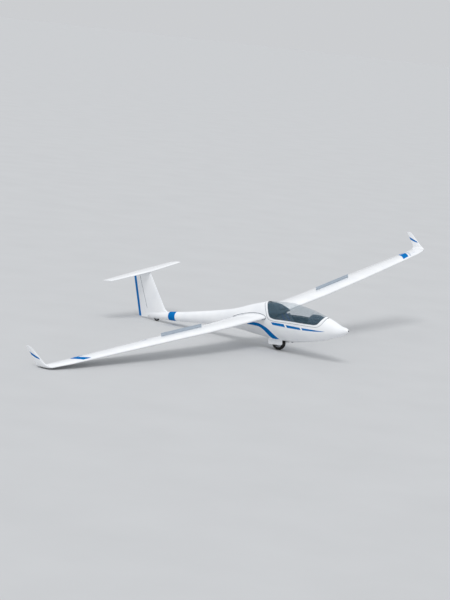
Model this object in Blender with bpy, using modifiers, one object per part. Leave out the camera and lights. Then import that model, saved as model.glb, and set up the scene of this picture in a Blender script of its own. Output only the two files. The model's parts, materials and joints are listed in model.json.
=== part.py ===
"""Single-seat sailplane with a T tail, winglets and open airbrakes.

The aircraft is modelled level, with the nose tip at the origin, +Y aft, +X to the
port wing and +Z up, and then leaned as a whole into the attitude in which it parks:
on the main wheel, the tail wheel and the starboard wing tip skid.
"""
from math import atan2, cos, pi, radians, sin, sqrt

import bmesh
import bpy
import numpy as np
from mathutils import Matrix, Vector

# Driving dimensions, in metres
PORT = 1
STARBOARD = -1
FIT_GAP = 0.0003
RUN_GAP = 0.0055
SHELL = 0.030

# Columns: y, top z, bottom z, half width
FUSELAGE = np.array((
    (0.00, 0.000, 0.000, 0.000),
    (0.05, 0.061, -0.060, 0.060),
    (0.20, 0.098, -0.136, 0.139),
    (0.45, 0.228, -0.210, 0.204),
    (0.80, 0.378, -0.287, 0.265),
    (1.20, 0.507, -0.339, 0.301),
    (1.70, 0.610, -0.369, 0.321),
    (2.20, 0.626, -0.335, 0.300),
    (2.80, 0.532, -0.239, 0.215),
    (3.50, 0.369, -0.123, 0.165),
    (4.40, 0.259, -0.072, 0.145),
    (5.40, 0.180, -0.061, 0.120),
    (6.00, 0.160, -0.039, 0.088),
    (6.43, 0.160, -0.026, 0.036),
))
FUSELAGE_STEPS = (0.004, 0.015, 0.03, 0.05, 0.08, 0.13, 0.20, 0.28, 0.37, 0.47, 0.58, 0.72, 0.88,
                  1.06, 1.26, 1.46, 1.66, 1.88, 2.06, 2.22, 2.38, 2.56, 2.76, 2.98, 3.22, 3.50,
                  3.84, 4.26, 4.80, 5.40, 5.76, 6.00, 6.25, 6.43)
FUSELAGE_SIDES = 40
WAIST_DROP = 0.04

# Columns: x, leading edge y, chord, z, thickness, droop of the trailing edge. The first four rows are the
# root fairing, which trails aft along the fuselage.
WING = np.array((
    (0.10, 2.275, 1.245, 0.248, 0.112, 0.070),
    (0.20, 2.279, 1.080, 0.253, 0.128, 0.045),
    (0.28, 2.280, 0.960, 0.257, 0.142, 0.020),
    (0.35, 2.279, 0.890, 0.261, 0.151, 0.005),
    (0.42, 2.276, 0.858, 0.264, 0.155, 0.000),
    (2.25, 2.212, 0.785, 0.357, 0.155, 0.000),
    (4.10, 2.250, 0.722, 0.460, 0.155, 0.000),
    (6.90, 2.475, 0.515, 0.574, 0.155, 0.000),
    (7.40, 2.583, 0.436, 0.594, 0.155, 0.000),
))
WING_THICKNESS = 0.155
WING_CAMBER = 0.0225
FOIL_POINTS = 15
TRAILING_HALF = 0.0012

# Columns: z above the wing tip, outward x, lean from level in degrees, leading edge y, chord, thickness
WINGLET = np.array((
    (0.0000, 0.0003, 0.0, 2.583, 0.4360, 0.155),
    (0.0120, 0.0450, 30.0, 2.610, 0.4050, 0.140),
    (0.0450, 0.0780, 60.0, 2.652, 0.3480, 0.125),
    (0.0830, 0.0900, 83.0, 2.708, 0.2850, 0.115),
    (0.2800, 0.1150, 83.0, 2.893, 0.1950, 0.105),
    (0.4600, 0.1380, 83.0, 3.074, 0.1130, 0.095),
    (0.4780, 0.1400, 83.0, 3.110, 0.0720, 0.060),
))

WINGLET_STEPS = 13

AILERON_SPAN = (4.10, 6.90)
AILERON_HINGE = 0.78
HINGE_PIN = 0.004
PIN_HOLD = 0.010
PIN_REACH = 0.020
PIN_END_GAP = 0.0015

AIRBRAKE_SPAN = (2.32, 3.77)
AIRBRAKE_CHORD = 0.52
AIRBRAKE_BLADE = 0.008
AIRBRAKE_CAP = (0.024, 0.003)
AIRBRAKE_TRAVEL = 0.080
AIRBRAKE_HEIGHT = 0.087
AIRBRAKE_END_GAP = 0.0004

# Rubbing skid: x, front and rear y, top and rim over the chord line, depth, half width
TIP_SKID = (7.30, 2.665, 2.825, 0.020, -0.015, 0.040, 0.009)
TIP_SKID_Z = 0.590

FIN_LEADING = ((5.754, 0.10), (6.180, 1.146))
RUDDER_TRAILING = ((6.726, 0.00), (6.775, 1.146))
RUDDER_AXIS = ((6.395, 0.00), (6.587, 1.146))
RUDDER_HEIGHT = (0.0, 1.115)
FIN_TOP = 1.1765
FIN_THICKNESS = 0.11
RUDDER_SHELF = 1.145
RUDDER_HEAD_Y = 6.62
# Columns: z, how far the fin's foot reaches forward of its straight leading edge
FIN_FOOT = ((0.05, 0.120), (0.168, 0.050), (0.205, 0.018), (0.250, 0.000), (FIN_TOP, 0.000))

STABILIZER_Z = 1.208
# Columns: x, leading edge y, chord, thickness
STABILIZER = np.array((
    (0.000, 6.165, 0.505, 0.110),
    (1.330, 6.297, 0.330, 0.110),
    (1.350, 6.314, 0.306, 0.085),
    (1.360, 6.325, 0.290, 0.040),
))
# The pad that seats it on the fin: half width, front and rear y
STABILIZER_PAD = (0.026, 6.22, 6.48)
ELEVATOR_AXIS_Y = 6.525
ELEVATOR_HALF_SPAN = 1.27

MAIN_WHEEL = Vector((0.0, 2.15, -0.42))
TAIL_WHEEL = Vector((0.0, 6.12, -0.012))
# Tyres: outer radius, half width, rim radius
MAIN_TYRE = (0.180, 0.060, 0.112)
TAIL_TYRE = (0.085, 0.022, 0.050)
# Axles: radius, half length
MAIN_AXLE = (0.010, 0.082)
TAIL_AXLE = (0.005, 0.040)
HUB_HOLES = 6
WELL = ((-0.085, 0.085), (1.93, 2.37), (-0.60, -0.20))
TAIL_WELL = ((-0.030, 0.030), (6.02, 6.22), (-0.20, 0.082))
# Fork legs: inner and outer x, half width along y, eye radius, crown half width, crown depth
FORK = (0.068, 0.078, 0.025, 0.025, 0.035, 0.008)
# Open doors of the well: x of the hinge, its z, depth, bulge, thickness, lean in degrees, half length
GEAR_DOOR = (0.094, -0.240, 0.205, 0.010, 0.006, 12.0, 0.215)

# Side views of the canopy's parting line and of its window, from the rear top round the sill to the front top
CANOPY_EDGE = ((2.440, 0.700), (2.405, 0.600), (2.330, 0.500), (2.272, 0.390), (2.232, 0.290),
               (2.170, 0.225), (2.060, 0.196), (1.800, 0.180), (1.500, 0.163), (1.200, 0.137),
               (0.940, 0.111), (0.800, 0.101), (0.720, 0.115), (0.655, 0.160), (0.603, 0.235),
               (0.578, 0.290), (0.556, 0.345), (0.545, 0.400), (0.545, 0.700))
WINDOW_EDGE = ((2.375, 0.700), (2.350, 0.630), (2.285, 0.545), (2.232, 0.450), (2.195, 0.360),
               (2.145, 0.285), (2.060, 0.252), (1.810, 0.231), (1.510, 0.212), (1.220, 0.183),
               (0.940, 0.158), (0.810, 0.151), (0.752, 0.168), (0.715, 0.205), (0.674, 0.257),
               (0.634, 0.310), (0.600, 0.355), (0.590, 0.400), (0.590, 0.700))
CANOPY_FRAME_DEPTH = 0.014
CANOPY_LEDGE = 0.030
GLASS_DEPTH = 0.005
CANOPY_EDGE_STEPS = 3
CANOPY_AXIS_Y = 0.580
CANOPY_AXIS_SINK = 0.001
# Hinge: pin radius, barrel radius, half width of the middle knuckle, half length
CANOPY_HINGE = (0.003, 0.007, 0.020, 0.034)

# Columns: y, bottom z, top z, half width
INSTRUMENT_HOOD = (
    (0.72, 0.220, 0.285, 0.090),
    (0.80, 0.180, 0.318, 0.118),
    (0.88, 0.140, 0.342, 0.140),
    (1.03, 0.060, 0.350, 0.160),
    (1.08, 0.050, 0.315, 0.155),
)
COCKPIT_FLOOR = -0.20
SHELF_FLOOR = 0.02
SHELF_START = 1.87
COCKPIT_STEPS = (0.36, 0.45, 0.58, 0.72, 0.90, 1.12, 1.36, 1.62, 1.86, 1.88, 2.12, 2.33)

# Side views of cockpit pieces as (y, z), and their half widths
SEAT_SIDE = ((1.24, -0.30), (1.84, -0.30), (1.84, 0.05), (1.98, 0.27), (1.91, 0.30), (1.83, 0.16),
             (1.74, 0.03), (1.68, -0.05), (1.60, -0.11), (1.48, -0.155), (1.34, -0.150), (1.26, -0.12))
SEAT_HALF = 0.23
# The rear deck slopes from its lip over the seat back up to the rear of the canopy
DECK_SLOPE = ((1.930, 0.408), (2.070, 0.524))
SHELF_SIDE = ((1.99, -0.10), (2.40, -0.10), (2.40, 0.590), (2.30, 0.588), (2.21, 0.578), (2.13, 0.556),
              DECK_SLOPE[1], DECK_SLOPE[0], (1.89, 0.385), (1.89, 0.350), (1.99, 0.320))
SHELF_HALF = 0.22
# Headrest, measured along the deck's slope and out from it
HEADREST_SIDE = ((0.020, FIT_GAP), (0.155, FIT_GAP), (0.155, 0.022), (0.147, 0.034), (0.125, 0.040),
                 (0.050, 0.040), (0.028, 0.034), (0.020, 0.022))
HEADREST_HALF = 0.085
PEDESTAL_FRONT = 0.90
PEDESTAL_HALF = 0.065
# Control stick: y of its foot, y and z of its bend and of its top, radii of boot, tube and grip
STICK_FOOT_Y = 1.17
STICK_BEND = (1.152, 0.01)
STICK_TOP = (1.185, 0.13)
STICK_RADII = (0.028, 0.009, 0.016)
# Pedals: y of the bar and its z, half width, pedal y, z and inner and outer x
PEDAL_BAR = (0.64, -0.08, 0.135, 0.008)
PEDAL_STAND = ((-0.02, 0.02), (0.62, 0.70), -0.06)
PEDAL_PLATE = ((0.055, 0.125), (0.632, 0.645), (-0.13, 0.02))
CONSOLE = ((0.19, 0.35), (1.16, 1.66), (-0.01, 0.03))
# Airbrake lever: its slide, then its arm from foot to knob as (x, y, z)
LEVER_SLIDE = ((0.205, 0.235), (1.28, 1.34), 0.015)
LEVER_ARM = ((0.220, 1.310, 0.040), (0.215, 1.270, 0.120))
LEVER_KNOB = ((0.195, 1.268, 0.125), (0.235, 1.268, 0.125))
LEVER_RADII = (0.007, 0.014)
# Tow hook under the floor: half thickness, y, z, and the eye's y, z and radius
TOW_HOOK = (0.006, (1.70, 1.75), (-0.398, -0.33))
TOW_EYE = (1.725, -0.384, 0.007)


def clear_scene():
    for thing in list(bpy.data.objects):
        bpy.data.objects.remove(thing, do_unlink=True)


clear_scene()
GLIDER = bpy.data.collections.new("sailplane")
CUTTERS = bpy.data.collections.new("cutters")
for group in (GLIDER, CUTTERS):
    bpy.context.scene.collection.children.link(group)

ATTITUDE = bpy.data.objects.new("parked_attitude", None)
GLIDER.objects.link(ATTITUDE)


def material(name, colour, roughness, metallic=0.0, alpha=1.0):
    """A Principled material of one colour."""
    made = bpy.data.materials.new(name)
    made.use_nodes = True
    shader = made.node_tree.nodes["Principled BSDF"]
    shader.inputs["Base Color"].default_value = (*colour, 1.0)
    shader.inputs["Roughness"].default_value = roughness
    shader.inputs["Metallic"].default_value = metallic
    shader.inputs["Alpha"].default_value = alpha
    made.diffuse_color = (*colour, alpha)
    return made


GELCOAT = material("gelcoat", (0.93, 0.94, 0.95), 0.18)
GLASS = material("tinted_glass", (0.30, 0.40, 0.46), 0.05, 0.0, 0.35)
RUBBER = material("rubber", (0.035, 0.035, 0.037), 0.75)
STEEL = material("painted_steel", (0.30, 0.31, 0.33), 0.45, 0.6)
ALLOY = material("alloy", (0.68, 0.70, 0.73), 0.35, 0.9)
BRAKE = material("brake_grey", (0.52, 0.56, 0.61), 0.5)
TRIM = material("cockpit_trim", (0.16, 0.19, 0.23), 0.7)
UPHOLSTERY = material("upholstery", (0.10, 0.13, 0.17), 0.85)


def new_object(name, bm, group, finish=None, origin=(0.0, 0.0, 0.0)):
    """An object from a bmesh in aircraft coordinates, with its origin at a given point."""
    centre = Vector(origin)
    bmesh.ops.recalc_face_normals(bm, faces=bm.faces)
    bmesh.ops.translate(bm, verts=bm.verts, vec=-centre)
    mesh = bpy.data.meshes.new(name)
    bm.to_mesh(mesh)
    bm.free()
    mesh.shade_smooth()
    mesh.set_sharp_from_angle(angle=radians(30.0))
    if finish is not None:
        mesh.materials.append(finish)
    made = bpy.data.objects.new(name, mesh)
    made.location = centre
    made.parent = ATTITUDE
    group.objects.link(made)
    return made


def part(name, bm, finish, origin=(0.0, 0.0, 0.0)):
    return new_object(name, bm, GLIDER, finish, origin)


def cutter(name, bm):
    made = new_object("cut_" + name, bm, CUTTERS)
    made.hide_render = True
    made.display_type = "WIRE"
    return made


def combine(target, tool, operation):
    """Adds one exact Boolean to an object."""
    change = target.modifiers.new(operation.lower() + "_" + tool.name, "BOOLEAN")
    change.operation = operation
    change.solver = "EXACT"
    change.object = tool


def cut(target, *tools):
    for tool in tools:
        combine(target, tool, "DIFFERENCE")


def join(target, *tools):
    for tool in tools:
        combine(target, tool, "UNION")


def loft(rings):
    """A closed body through rings that have the same number of points."""
    bm = bmesh.new()
    rows = [[bm.verts.new(point) for point in ring] for ring in rings]
    count = len(rows[0])
    for near, far in zip(rows, rows[1:]):
        for i in range(count):
            j = (i + 1) % count
            bm.faces.new((near[i], near[j], far[j]))
            bm.faces.new((near[i], far[j], far[i]))
    for end in (rows[0], rows[-1]):
        bm.faces.new(end)
    return bm


def prism(outline, x0, x1):
    """A side view outline of (y, z) points, carried across from x0 to x1."""
    return loft([[(x, y, z) for y, z in outline] for x in (x0, x1)])


def box(x, y, z):
    """A box between two values on each axis."""
    bm = bmesh.new()
    size = Matrix.Diagonal((x[1] - x[0], y[1] - y[0], z[1] - z[0], 1.0))
    middle = Matrix.Translation((sum(x) / 2, sum(y) / 2, sum(z) / 2))
    bmesh.ops.create_cube(bm, size=1.0, matrix=middle @ size)
    return bm


def rod(start, end, radius, sides=16):
    """A round bar between two points."""
    start, end = Vector(start), Vector(end)
    along = end - start
    turn = along.to_track_quat("Z", "Y").to_matrix().to_4x4()
    bm = bmesh.new()
    bmesh.ops.create_cone(bm, cap_ends=True, segments=sides, radius1=radius, radius2=radius,
                          depth=along.length,
                          matrix=Matrix.Translation((start + end) / 2) @ turn)
    return bm


def turned(name, profile, centre, finish, sides):
    """A ring turned about the X axis through its centre from (radius, x) points."""
    bm = bmesh.new()
    loop = [bm.verts.new((x, 0.0, radius)) for radius, x in profile]
    for i, vert in enumerate(loop):
        bm.edges.new((vert, loop[(i + 1) % len(loop)]))
    mesh = bpy.data.meshes.new(name)
    bm.to_mesh(mesh)
    bm.free()
    mesh.materials.append(finish)
    made = bpy.data.objects.new(name, mesh)
    made.location = centre
    made.parent = ATTITUDE
    GLIDER.objects.link(made)
    spin = made.modifiers.new("turn", "SCREW")
    spin.axis = "X"
    spin.angle = 2 * pi
    spin.steps = sides
    spin.render_steps = sides
    spin.use_merge_vertices = True
    spin.merge_threshold = 0.00001
    spin.use_smooth_shade = True
    spin.use_normal_flip = True
    return made


def monotone(table_x, table_y, x):
    """Smooth interpolation that never overshoots its table."""
    step = np.diff(table_x)
    slope = np.diff(table_y) / step
    tangent = np.zeros(len(table_x))
    for i in range(1, len(slope)):
        a, b = slope[i - 1], slope[i]
        if a * b > 0:
            w1 = 2 * step[i] + step[i - 1]
            w2 = step[i] + 2 * step[i - 1]
            tangent[i] = (w1 + w2) / (w1 / a + w2 / b)
    tangent[0], tangent[-1] = slope[0], slope[-1]
    i = int(np.clip(np.searchsorted(table_x, x) - 1, 0, len(slope) - 1))
    t = (x - table_x[i]) / step[i]
    return float((1 + 2 * t) * (1 - t) ** 2 * table_y[i] + t * (1 - t) ** 2 * step[i] * tangent[i]
                 + t * t * (3 - 2 * t) * table_y[i + 1] - t * t * (1 - t) * step[i] * tangent[i + 1])


def fuselage_size(y):
    """Top z, bottom z and half width at a station; the square root rounds the nose."""
    root = np.sqrt(FUSELAGE[:, 0])
    return tuple(monotone(root, FUSELAGE[:, column], sqrt(y)) for column in (1, 2, 3))


def fuselage_ring(y, inset=0.0, floor=-10.0):
    """One section, drawn in by inset and levelled off at a floor."""
    top, bottom, half = fuselage_size(y)
    waist = (top + bottom) / 2 - WAIST_DROP * (top - bottom)
    top, bottom, half = top - inset, bottom + inset, half - inset
    ring = []
    for i in range(FUSELAGE_SIDES):
        angle = 2 * pi * i / FUSELAGE_SIDES
        rise = top - waist if sin(angle) > 0 else waist - bottom
        ring.append((half * cos(angle), y, max(waist + rise * sin(angle), floor)))
    return ring


def fuselage_loft(inset=0.0, steps=FUSELAGE_STEPS):
    return loft([fuselage_ring(y, inset) for y in steps])


def foil_half(fraction, thickness):
    """Half thickness of a wing section at a fraction of its chord, for a chord of 1."""
    return 5 * thickness * (0.2969 * sqrt(fraction) - 0.1260 * fraction - 0.3516 * fraction ** 2
                            + 0.2843 * fraction ** 3 - 0.1036 * fraction ** 4)


def foil_camber(fraction, camber):
    return 4 * camber * fraction * (1 - fraction)


def foil_point(fraction, chord, thickness, camber, way):
    """Chordwise and upward distance of a point on the upper (way 1) or lower (way -1) skin."""
    half = foil_half(fraction, thickness) * chord + TRAILING_HALF * fraction
    return fraction * chord, foil_camber(fraction, camber) * chord + way * half


def foil_ring(chord, thickness, camber=0.0):
    """A section as (chordwise, upward) points, from the upper trailing edge round and back."""
    steps = [0.5 * (1 - cos(pi * i / FOIL_POINTS)) for i in range(FOIL_POINTS + 1)]
    upper = [foil_point(c, chord, thickness, camber, 1) for c in steps]
    lower = [foil_point(c, chord, thickness, camber, -1) for c in steps]
    return upper[::-1] + lower[1:]


def wing_ring(x, side, lift=0.0):
    """Section of the wing at a distance from the centre, raised by a small lift."""
    leading, chord, z, thickness, droop = (float(np.interp(x, WING[:, 0], WING[:, column]))
                                           for column in range(1, 6))
    return [(side * x, leading + y, z + up + lift - droop * (y / chord) ** 2)
            for y, up in foil_ring(chord, thickness, WING_CAMBER)]


def wing_at(x):
    """Leading edge y, chord and z of the wing at a distance from the centre."""
    return tuple(float(np.interp(x, WING[:, 0], WING[:, column])) for column in (1, 2, 3))


def flap_ring(axis_y, axis_z, radius, leading, chord, z, thickness, camber, points=6, nose=8):
    """Section of a control surface: a half-round nose on its hinge, then the wing's own outline."""
    start = (axis_y - leading) / chord
    upper, lower = [], []
    for c in [start + (1 - start) * i / points for i in range(1, points + 1)]:
        for row, way in ((upper, 1), (lower, -1)):
            y, up = foil_point(c, chord, thickness, camber, way)
            row.append((leading + y, z + up))
    arc = [(axis_y + radius * cos(a), axis_z + radius * sin(a))
           for a in (pi / 2 + pi * i / nose for i in range(nose + 1))]
    return upper[::-1] + arc + lower


def cove_ring(axis_y, axis_z, radius, reach, nose=8):
    """Section of the space that a control surface turns in."""
    arc = [(axis_y + radius * cos(a), axis_z + radius * sin(a))
           for a in (pi / 2 + pi * i / nose for i in range(nose + 1))]
    return [(axis_y + reach, axis_z + radius)] + arc + [(axis_y + reach, axis_z - radius)]


def cockpit_loft(clear):
    """The hollow of the cockpit, drawn in all round by a clearance."""
    rings = []
    for y in COCKPIT_STEPS:
        floor = COCKPIT_FLOOR if y < SHELF_START else SHELF_FLOOR
        rings.append(fuselage_ring(y, SHELL + clear, floor + clear))
    first, last = rings[0], rings[-1]
    rings[0] = [(x, y + clear, z) for x, y, z in first]
    rings[-1] = [(x, y - clear, z) for x, y, z in last]
    return loft(rings)


def build_fuselage():
    """Shell with an open cockpit, a wheel well, a tail wheel well and a solid boom."""
    body = part("fuselage", fuselage_loft(), GELCOAT)
    cut(body, cutter("cockpit", cockpit_loft(0.0)))
    return body


def smooth_line(points, steps):
    """A curve through hand-placed points, with the same steps between each two."""
    points = np.asarray(points, float)
    apart = np.linalg.norm(np.diff(points, axis=0), axis=1)[:, None]
    slope = np.diff(points, axis=0) / apart
    tangent = np.vstack((slope[:1], (slope[:-1] * apart[1:] + slope[1:] * apart[:-1])
                         / (apart[:-1] + apart[1:]), slope[-1:]))
    made = []
    for i in range(len(slope)):
        a, b, h = points[i], points[i + 1], apart[i]
        for t in np.arange(steps) / steps:
            made.append((1 + 2 * t) * (1 - t) ** 2 * a + t * (1 - t) ** 2 * h * tangent[i]
                        + t * t * (3 - 2 * t) * b - t * t * (1 - t) * h * tangent[i + 1])
    made.append(points[-1])
    return np.array(made)


def edge_outline(edge, inward):
    """One of the canopy's side view outlines, moved inward by a distance."""
    points = smooth_line(edge, CANOPY_EDGE_STEPS)
    along = np.gradient(points, axis=0)
    along /= np.linalg.norm(along, axis=1, keepdims=True)
    moved = points + np.stack((along[:, 1], -along[:, 0]), axis=-1) * inward
    return [(float(y), float(z)) for y, z in moved]


def canopy_prism(inward, edge=CANOPY_EDGE):
    """What lies inside an outline of the canopy, right across the aircraft."""
    return prism(edge_outline(edge, inward), -0.5, 0.5)


def build_canopy(body):
    """Hinged canopy: a moulded frame and its tinted glass, over a rebate in the fuselage."""
    near = [y for y in FUSELAGE_STEPS if 0.40 < y < 2.60]
    rebate = cutter("canopy_rebate", fuselage_loft(-0.05, near))
    cut(rebate, cutter("rebate_floor", fuselage_loft(CANOPY_FRAME_DEPTH + RUN_GAP, near)))
    combine(rebate, cutter("rebate_edge", canopy_prism(0.0)), "INTERSECT")
    opening = cutter("cockpit_opening", canopy_prism(CANOPY_LEDGE))
    cut(body, rebate, opening)

    top = fuselage_size(CANOPY_AXIS_Y)[0]
    axis = Vector((0.0, CANOPY_AXIS_Y, top - CANOPY_AXIS_SINK))
    frame = part("canopy_frame", fuselage_loft(0.0, near), GELCOAT, axis)
    combine(frame, cutter("frame_edge", canopy_prism(RUN_GAP)), "INTERSECT")
    cut(frame, cutter("frame_inside", fuselage_loft(CANOPY_FRAME_DEPTH, near)),
        cutter("frame_window", canopy_prism(0.0, WINDOW_EDGE)))
    glass = part("canopy_glass", fuselage_loft(0.0, near), GLASS, axis)
    combine(glass, cutter("glass_edge", canopy_prism(FIT_GAP, WINDOW_EDGE)), "INTERSECT")
    cut(glass, cutter("glass_inside", fuselage_loft(GLASS_DEPTH, near)))

    build_canopy_hinge(body, frame, axis)


def build_canopy_hinge(body, frame, axis):
    """A pin across the front: its end barrels sit in the fuselage, the knuckle is the frame's."""
    pin, barrel, knuckle, ends = CANOPY_HINGE
    shoulder = 0.002
    away = Vector((1.0, 0.0, 0.0))
    hinge = part("canopy_hinge", rod(axis - away * ends, axis + away * ends, pin), STEEL)
    for side in (PORT, STARBOARD):
        start = axis + away * side * (knuckle + shoulder)
        stop = axis + away * side * ends
        join(hinge, cutter(f"hinge_end_{side}", rod(start, stop, barrel)))
        cut(body, cutter(f"hinge_seat_{side}",
                         rod(start - away * side * FIT_GAP, stop + away * side * FIT_GAP,
                             barrel + FIT_GAP)))
        cut(frame, cutter(f"hinge_relief_{side}",
                          rod(start - away * side * shoulder, stop + away * side * RUN_GAP,
                              barrel + RUN_GAP)))
    relief = away * (knuckle + shoulder - 0.0001)
    cut(body, cutter("knuckle_relief", rod(axis - relief, axis + relief, barrel + RUN_GAP)))
    join(frame, cutter("knuckle", rod(axis - away * knuckle, axis + away * knuckle, barrel)))
    cut(frame, cutter("knuckle_bore", rod(axis - away * ends, axis + away * ends, pin + FIT_GAP)))


def pin_joint(holder, turning, name, start, stop):
    """A hinge pin joined to what holds it, in a bore of what turns on it."""
    past = (stop - start).normalized() * PIN_END_GAP
    join(holder, cutter(f"{name}_pin", rod(start, stop, HINGE_PIN, 12)))
    cut(turning, cutter(f"{name}_bore", rod(start, stop + past, HINGE_PIN + FIT_GAP, 12)))


def build_wing(side, body_skin):
    """Wing half with its aileron and airbrake, winglet and tip skid."""
    word = "left" if side == PORT else "right"
    wing = part(f"wing_{word}", loft([wing_ring(x, side) for x in WING[:, 0]]), GELCOAT)
    cut(wing, body_skin)

    rings, coves, centres = [], [], []
    inner, outer = AILERON_SPAN
    bay_reach = 0.3
    for x, inset in ((inner, RUN_GAP), (outer, -RUN_GAP)):
        leading, chord, z = wing_at(x)
        axis_y = leading + AILERON_HINGE * chord
        axis_z = z + foil_camber(AILERON_HINGE, WING_CAMBER) * chord
        radius = foil_half(AILERON_HINGE, WING_THICKNESS) * chord + TRAILING_HALF * AILERON_HINGE
        centres.append(Vector((side * x, axis_y, axis_z)))
        coves.append([(side * x, y, up)
                      for y, up in cove_ring(axis_y, axis_z, radius + RUN_GAP, bay_reach)])
        rings.append([(side * (x + inset), y, up) for y, up in
                      flap_ring(axis_y, axis_z, radius, leading, chord, z, WING_THICKNESS, WING_CAMBER)])
    along = (centres[1] - centres[0]).normalized()
    cut(wing, cutter(f"aileron_bay_{word}", loft(coves)))
    aileron = part(f"aileron_{word}", loft(rings), GELCOAT, centres[0])
    for end, centre, inward in (("inner", centres[0], along), ("outer", centres[1], -along)):
        pin_joint(wing, aileron, f"aileron_{word}_{end}", centre - inward * PIN_HOLD,
                  centre + inward * PIN_REACH)

    build_airbrake(side, word, wing)
    build_winglet(side, word)
    build_skid(side, word)


def build_airbrake(side, word, wing):
    """Upright blade with a cap strip, standing in its slot on the wing's upper side."""
    feet = []
    for x in AIRBRAKE_SPAN:
        leading, chord, z = wing_at(x)
        rise = foil_camber(AIRBRAKE_CHORD, WING_CAMBER) + foil_half(AIRBRAKE_CHORD, WING_THICKNESS)
        feet.append(Vector((side * x, leading + AIRBRAKE_CHORD * chord, z + rise * chord)))
    along = (feet[1] - feet[0]).normalized()
    forward = Vector((0.0, 1.0, 0.0))
    forward = (forward - along * forward.dot(along)).normalized()
    up = along.cross(forward) * side
    length = (feet[1] - feet[0]).length
    place = Matrix((along, forward, up)).transposed().to_4x4()
    place.translation = feet[0]

    def block(name, maker, x, y, z, *more):
        bm = box(x, y, z)
        bmesh.ops.transform(bm, matrix=place, verts=bm.verts)
        return maker(name, bm, *more)

    half, cap_half, cap_depth = AIRBRAKE_BLADE / 2, AIRBRAKE_CAP[0] / 2, AIRBRAKE_CAP[1]
    top = AIRBRAKE_TRAVEL
    blade = block(f"airbrake_{word}", part, (0.0, length), (-half, half),
                  (top - AIRBRAKE_HEIGHT, top), BRAKE, feet[0])
    join(blade, block(f"brake_cap_{word}", cutter, (0.0, length), (-cap_half, cap_half),
                      (top - cap_depth, top)))
    span = (-AIRBRAKE_END_GAP, length + AIRBRAKE_END_GAP)
    floor_gap, above_skin = 0.001, 0.05
    cut(wing, block(f"brake_slot_{word}", cutter, span, (-half - RUN_GAP, half + RUN_GAP),
                    (-AIRBRAKE_HEIGHT - floor_gap, above_skin)),
        block(f"brake_recess_{word}", cutter, span, (-cap_half - RUN_GAP, cap_half + RUN_GAP),
              (-cap_depth - floor_gap, above_skin)))


def winglet_at(share):
    """The winglet's measures at a share of the way along its bent spine."""
    spine = np.hypot(np.diff(WINGLET[:, 0]), np.diff(WINGLET[:, 1]))
    reach = np.append(0.0, np.cumsum(spine)) / spine.sum()
    return [monotone(reach, WINGLET[:, column], share) for column in range(WINGLET.shape[1])]


def build_winglet(side, word):
    """Upturned tip: the wing section swept back round a small bend."""
    tip_x, tip_z = WING[-1][0], WING[-1][3]
    upright = WINGLET[-1][2]
    rings = []
    for i in range(WINGLET_STEPS):
        rise, out, lean, leading, chord, thickness = winglet_at((i / (WINGLET_STEPS - 1)) ** 1.3)
        camber = WING_CAMBER * (1 - lean / upright)
        tilt = radians(lean)
        rings.append([(side * (tip_x + out - up * sin(tilt)), leading + y, tip_z + rise + up * cos(tilt))
                      for y, up in foil_ring(chord, thickness, camber)])
    part(f"winglet_{word}", loft(rings), GELCOAT)


def build_skid(side, word):
    """Rubbing skid under the wing tip: a half-moon in side view, bedded on the wing's lower skin."""
    x, front, rear, top, rim, depth, half = TIP_SKID
    middle, reach = (front + rear) / 2, (rear - front) / 2
    outline = [(rear, TIP_SKID_Z + top), (front, TIP_SKID_Z + top)]
    outline += [(middle - reach * cos(pi * i / 8), TIP_SKID_Z + rim - depth * sin(pi * i / 8))
                for i in range(9)]
    skid = part(f"tip_skid_{word}", prism(outline, side * x - half, side * x + half), RUBBER)
    bed = [wing_ring(station, side, -FIT_GAP) for station in WING[-2:, 0]]
    cut(skid, cutter(f"skid_bed_{word}", loft(bed)))


def line_at(line, z):
    """The y of a slanted line, given by two (y, z) points, at a height."""
    (y0, z0), (y1, z1) = line
    return y0 + (y1 - y0) * (z - z0) / (z1 - z0)


def fin_size(z):
    """Leading edge y, full chord, hinge y and half thickness at the hinge."""
    leading = line_at(FIN_LEADING, z)
    chord = line_at(RUDDER_TRAILING, z) - leading
    hinge = line_at(RUDDER_AXIS, z)
    radius = foil_half((hinge - leading) / chord, FIN_THICKNESS) * chord + TRAILING_HALF
    return leading, chord, hinge, radius


def build_tail(body):
    """Fin, rudder, stabilizer and elevator."""
    rings = []
    for z, forward in FIN_FOOT:
        leading, chord, hinge, radius = fin_size(z)
        rings.append([(up, leading - forward + y, z)
                      for y, up in foil_ring(chord + forward, FIN_THICKNESS * chord / (chord + forward))])
    fin = part("fin", loft(rings), GELCOAT)

    low, high = RUDDER_HEIGHT
    rings, coves = [], []
    bay_reach = 0.5
    for z, end in ((low, -RUN_GAP), (high, RUN_GAP)):
        leading, chord, hinge, radius = fin_size(z)
        rings.append([(up, y, z) for y, up in
                      flap_ring(hinge, 0.0, radius, leading, chord, 0.0, FIN_THICKNESS, 0.0)])
        leading, chord, hinge, radius = fin_size(z + end)
        coves.append([(up, y, z + end) for y, up in cove_ring(hinge, 0.0, radius + RUN_GAP, bay_reach)])
    foot = Vector((0.0, line_at(RUDDER_AXIS, low), low))
    head = Vector((0.0, line_at(RUDDER_AXIS, high), high))
    rudder = part("rudder", loft(rings), GELCOAT, foot)
    cove = cutter("rudder_cove", loft(coves))
    wide, behind, above = (-0.1, 0.1), 7.0, 1.3
    cut(fin, cutter("boom_under_fin", fuselage_loft(-FIT_GAP)), cove,
        cutter("fin_shelf", box(wide, (ELEVATOR_AXIS_Y - 0.03, behind), (RUDDER_SHELF, above))),
        cutter("fin_tail", box(wide, (RUDDER_HEAD_Y, behind), (high - 0.01, above))))
    cut(body, cove)
    along = (head - foot).normalized()
    hold, reach = along * 0.014, along * 0.016
    pin_joint(body, rudder, "rudder_foot", foot - hold, foot + reach)
    pin_joint(fin, rudder, "rudder_head", head + hold, head - reach)
    build_stabilizer()


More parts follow.
